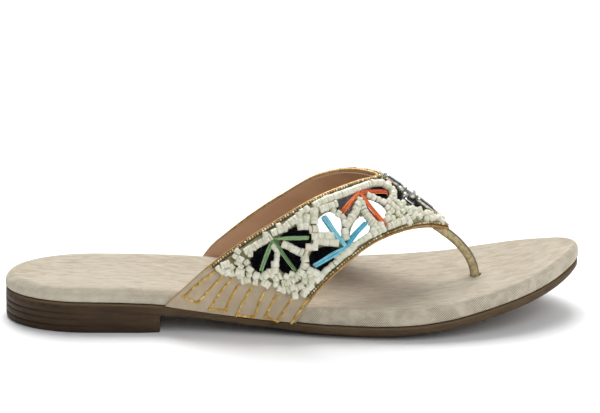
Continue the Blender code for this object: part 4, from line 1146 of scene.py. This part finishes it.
def toePost():
    # a wrapped strip swept down from the strap's tip, with painted shade darkening its two sides
    last = len(post["path"]) - 1
    curve = Curve(range(last + 1), post["path"])
    rings, seams = [], []
    for i in range(post["steps"] + 1):
        at = last * i / post["steps"]
        ahead = curve(at + 0.01) - curve(at - 0.01)
        ahead /= np.linalg.norm(ahead)
        front = np.cross(np.array([0.0, 1.0, 0.0]), ahead)
        front /= np.linalg.norm(front)
        across = np.cross(ahead, front)
        deep = post["deep"] * (post["thin"] + (1 - post["thin"]) * min(1.0, at / post["thinTo"]))
        ring = []
        for c, s in roundOutline(1.0, post["sides"]):
            square = 1 / max(abs(c), abs(s)) ** post["square"]
            ring.append(toWorld(curve(at) + front * c * square * deep + across * s * square * post["wide"]))
            # painted shade: darker toward the two sides that turn away from view
            seams.append(min(1.0, max(0.0, abs(c) * post["seam"][0] - post["seam"][1])))
        rings.append(ring)
    return markPoints(ringPiece("toePostLeather", rings, 180, postFinish), "edge", seams)


onFrame(toePost(), "gold_leather", "toe_post")
print("toe post set")


def newLight(name, where, aim, size, power):
    data = bpy.data.lights.new(name, "AREA")
    data.shape = "RECTANGLE"
    data.size, data.size_y = size
    data.energy = power
    light = bpy.data.objects.new(name, data)
    light.location = where
    light.rotation_euler = (Vector(aim) - Vector(where)).to_track_quat("-Z", "Y").to_euler()
    bpy.context.scene.collection.objects.link(light)


floorMesh = bpy.data.meshes.new("studioFloor")
floorMesh.from_pydata([(-6, -4, 0), (6, -4, 0), (6, 14, 0), (-6, 14, 0)], [], [(0, 1, 2, 3)])
# matt painted board: pale, without a gloss
floorFinish = ended(newFinish("paleFloor")[0], {"Base Color": srgb("#fbfbfb"), "Roughness": 0.9})
meshObject("studioFloor", floorMesh, floorFinish)
newLight("overheadSoftbox", (-0.1, 0.95, 1.3), (0, 0, 0), (1.1, 1.5), 37)
newLight("backSoftbox", (0, 1.7, 0.5), (0, 0, 0.02), (1.8, 0.9), 10)
newLight("keySoftbox", (1.15, -1.25, 1.5), (0, 0, 0.03), (2.2, 2.2), 21)

scene = bpy.context.scene
world = bpy.data.worlds.new("studio")
world.use_nodes = True
sky = addNode(world.node_tree, "ShaderNodeTexCoord")["Generated"]
sky = addNode(world.node_tree, "ShaderNodeSeparateXYZ", {0: sky})["Z"]
sky = addNode(world.node_tree, "ShaderNodeValToRGB", {0: sky},
              [(0.0, "#4c4d4f"), (0.25, "#616366"), (1.0, "#a3a5a8")])[0]
world.node_tree.links.new(sky, world.node_tree.nodes["Background"].inputs["Color"])
scene.world = world
scene.view_settings.view_transform = "Standard"

camera = {"target": (3.3, -1.5, 49.45), "distance": 1500, "elevation": 17.64, "lens": 203.4}
tilt = math.radians(camera["elevation"])
cameraData = bpy.data.cameras.new("camera")
cameraData.lens = camera["lens"]
cameraData.clip_end = 50
cameraObject = bpy.data.objects.new("camera", cameraData)
cameraObject.location = (Vector(camera["target"])
                         + Vector((0, -math.cos(tilt), math.sin(tilt))) * camera["distance"]) * mm
cameraObject.rotation_euler = (math.pi / 2 - tilt, 0, 0)
scene.collection.objects.link(cameraObject)
scene.camera = cameraObject

print("scene ready")
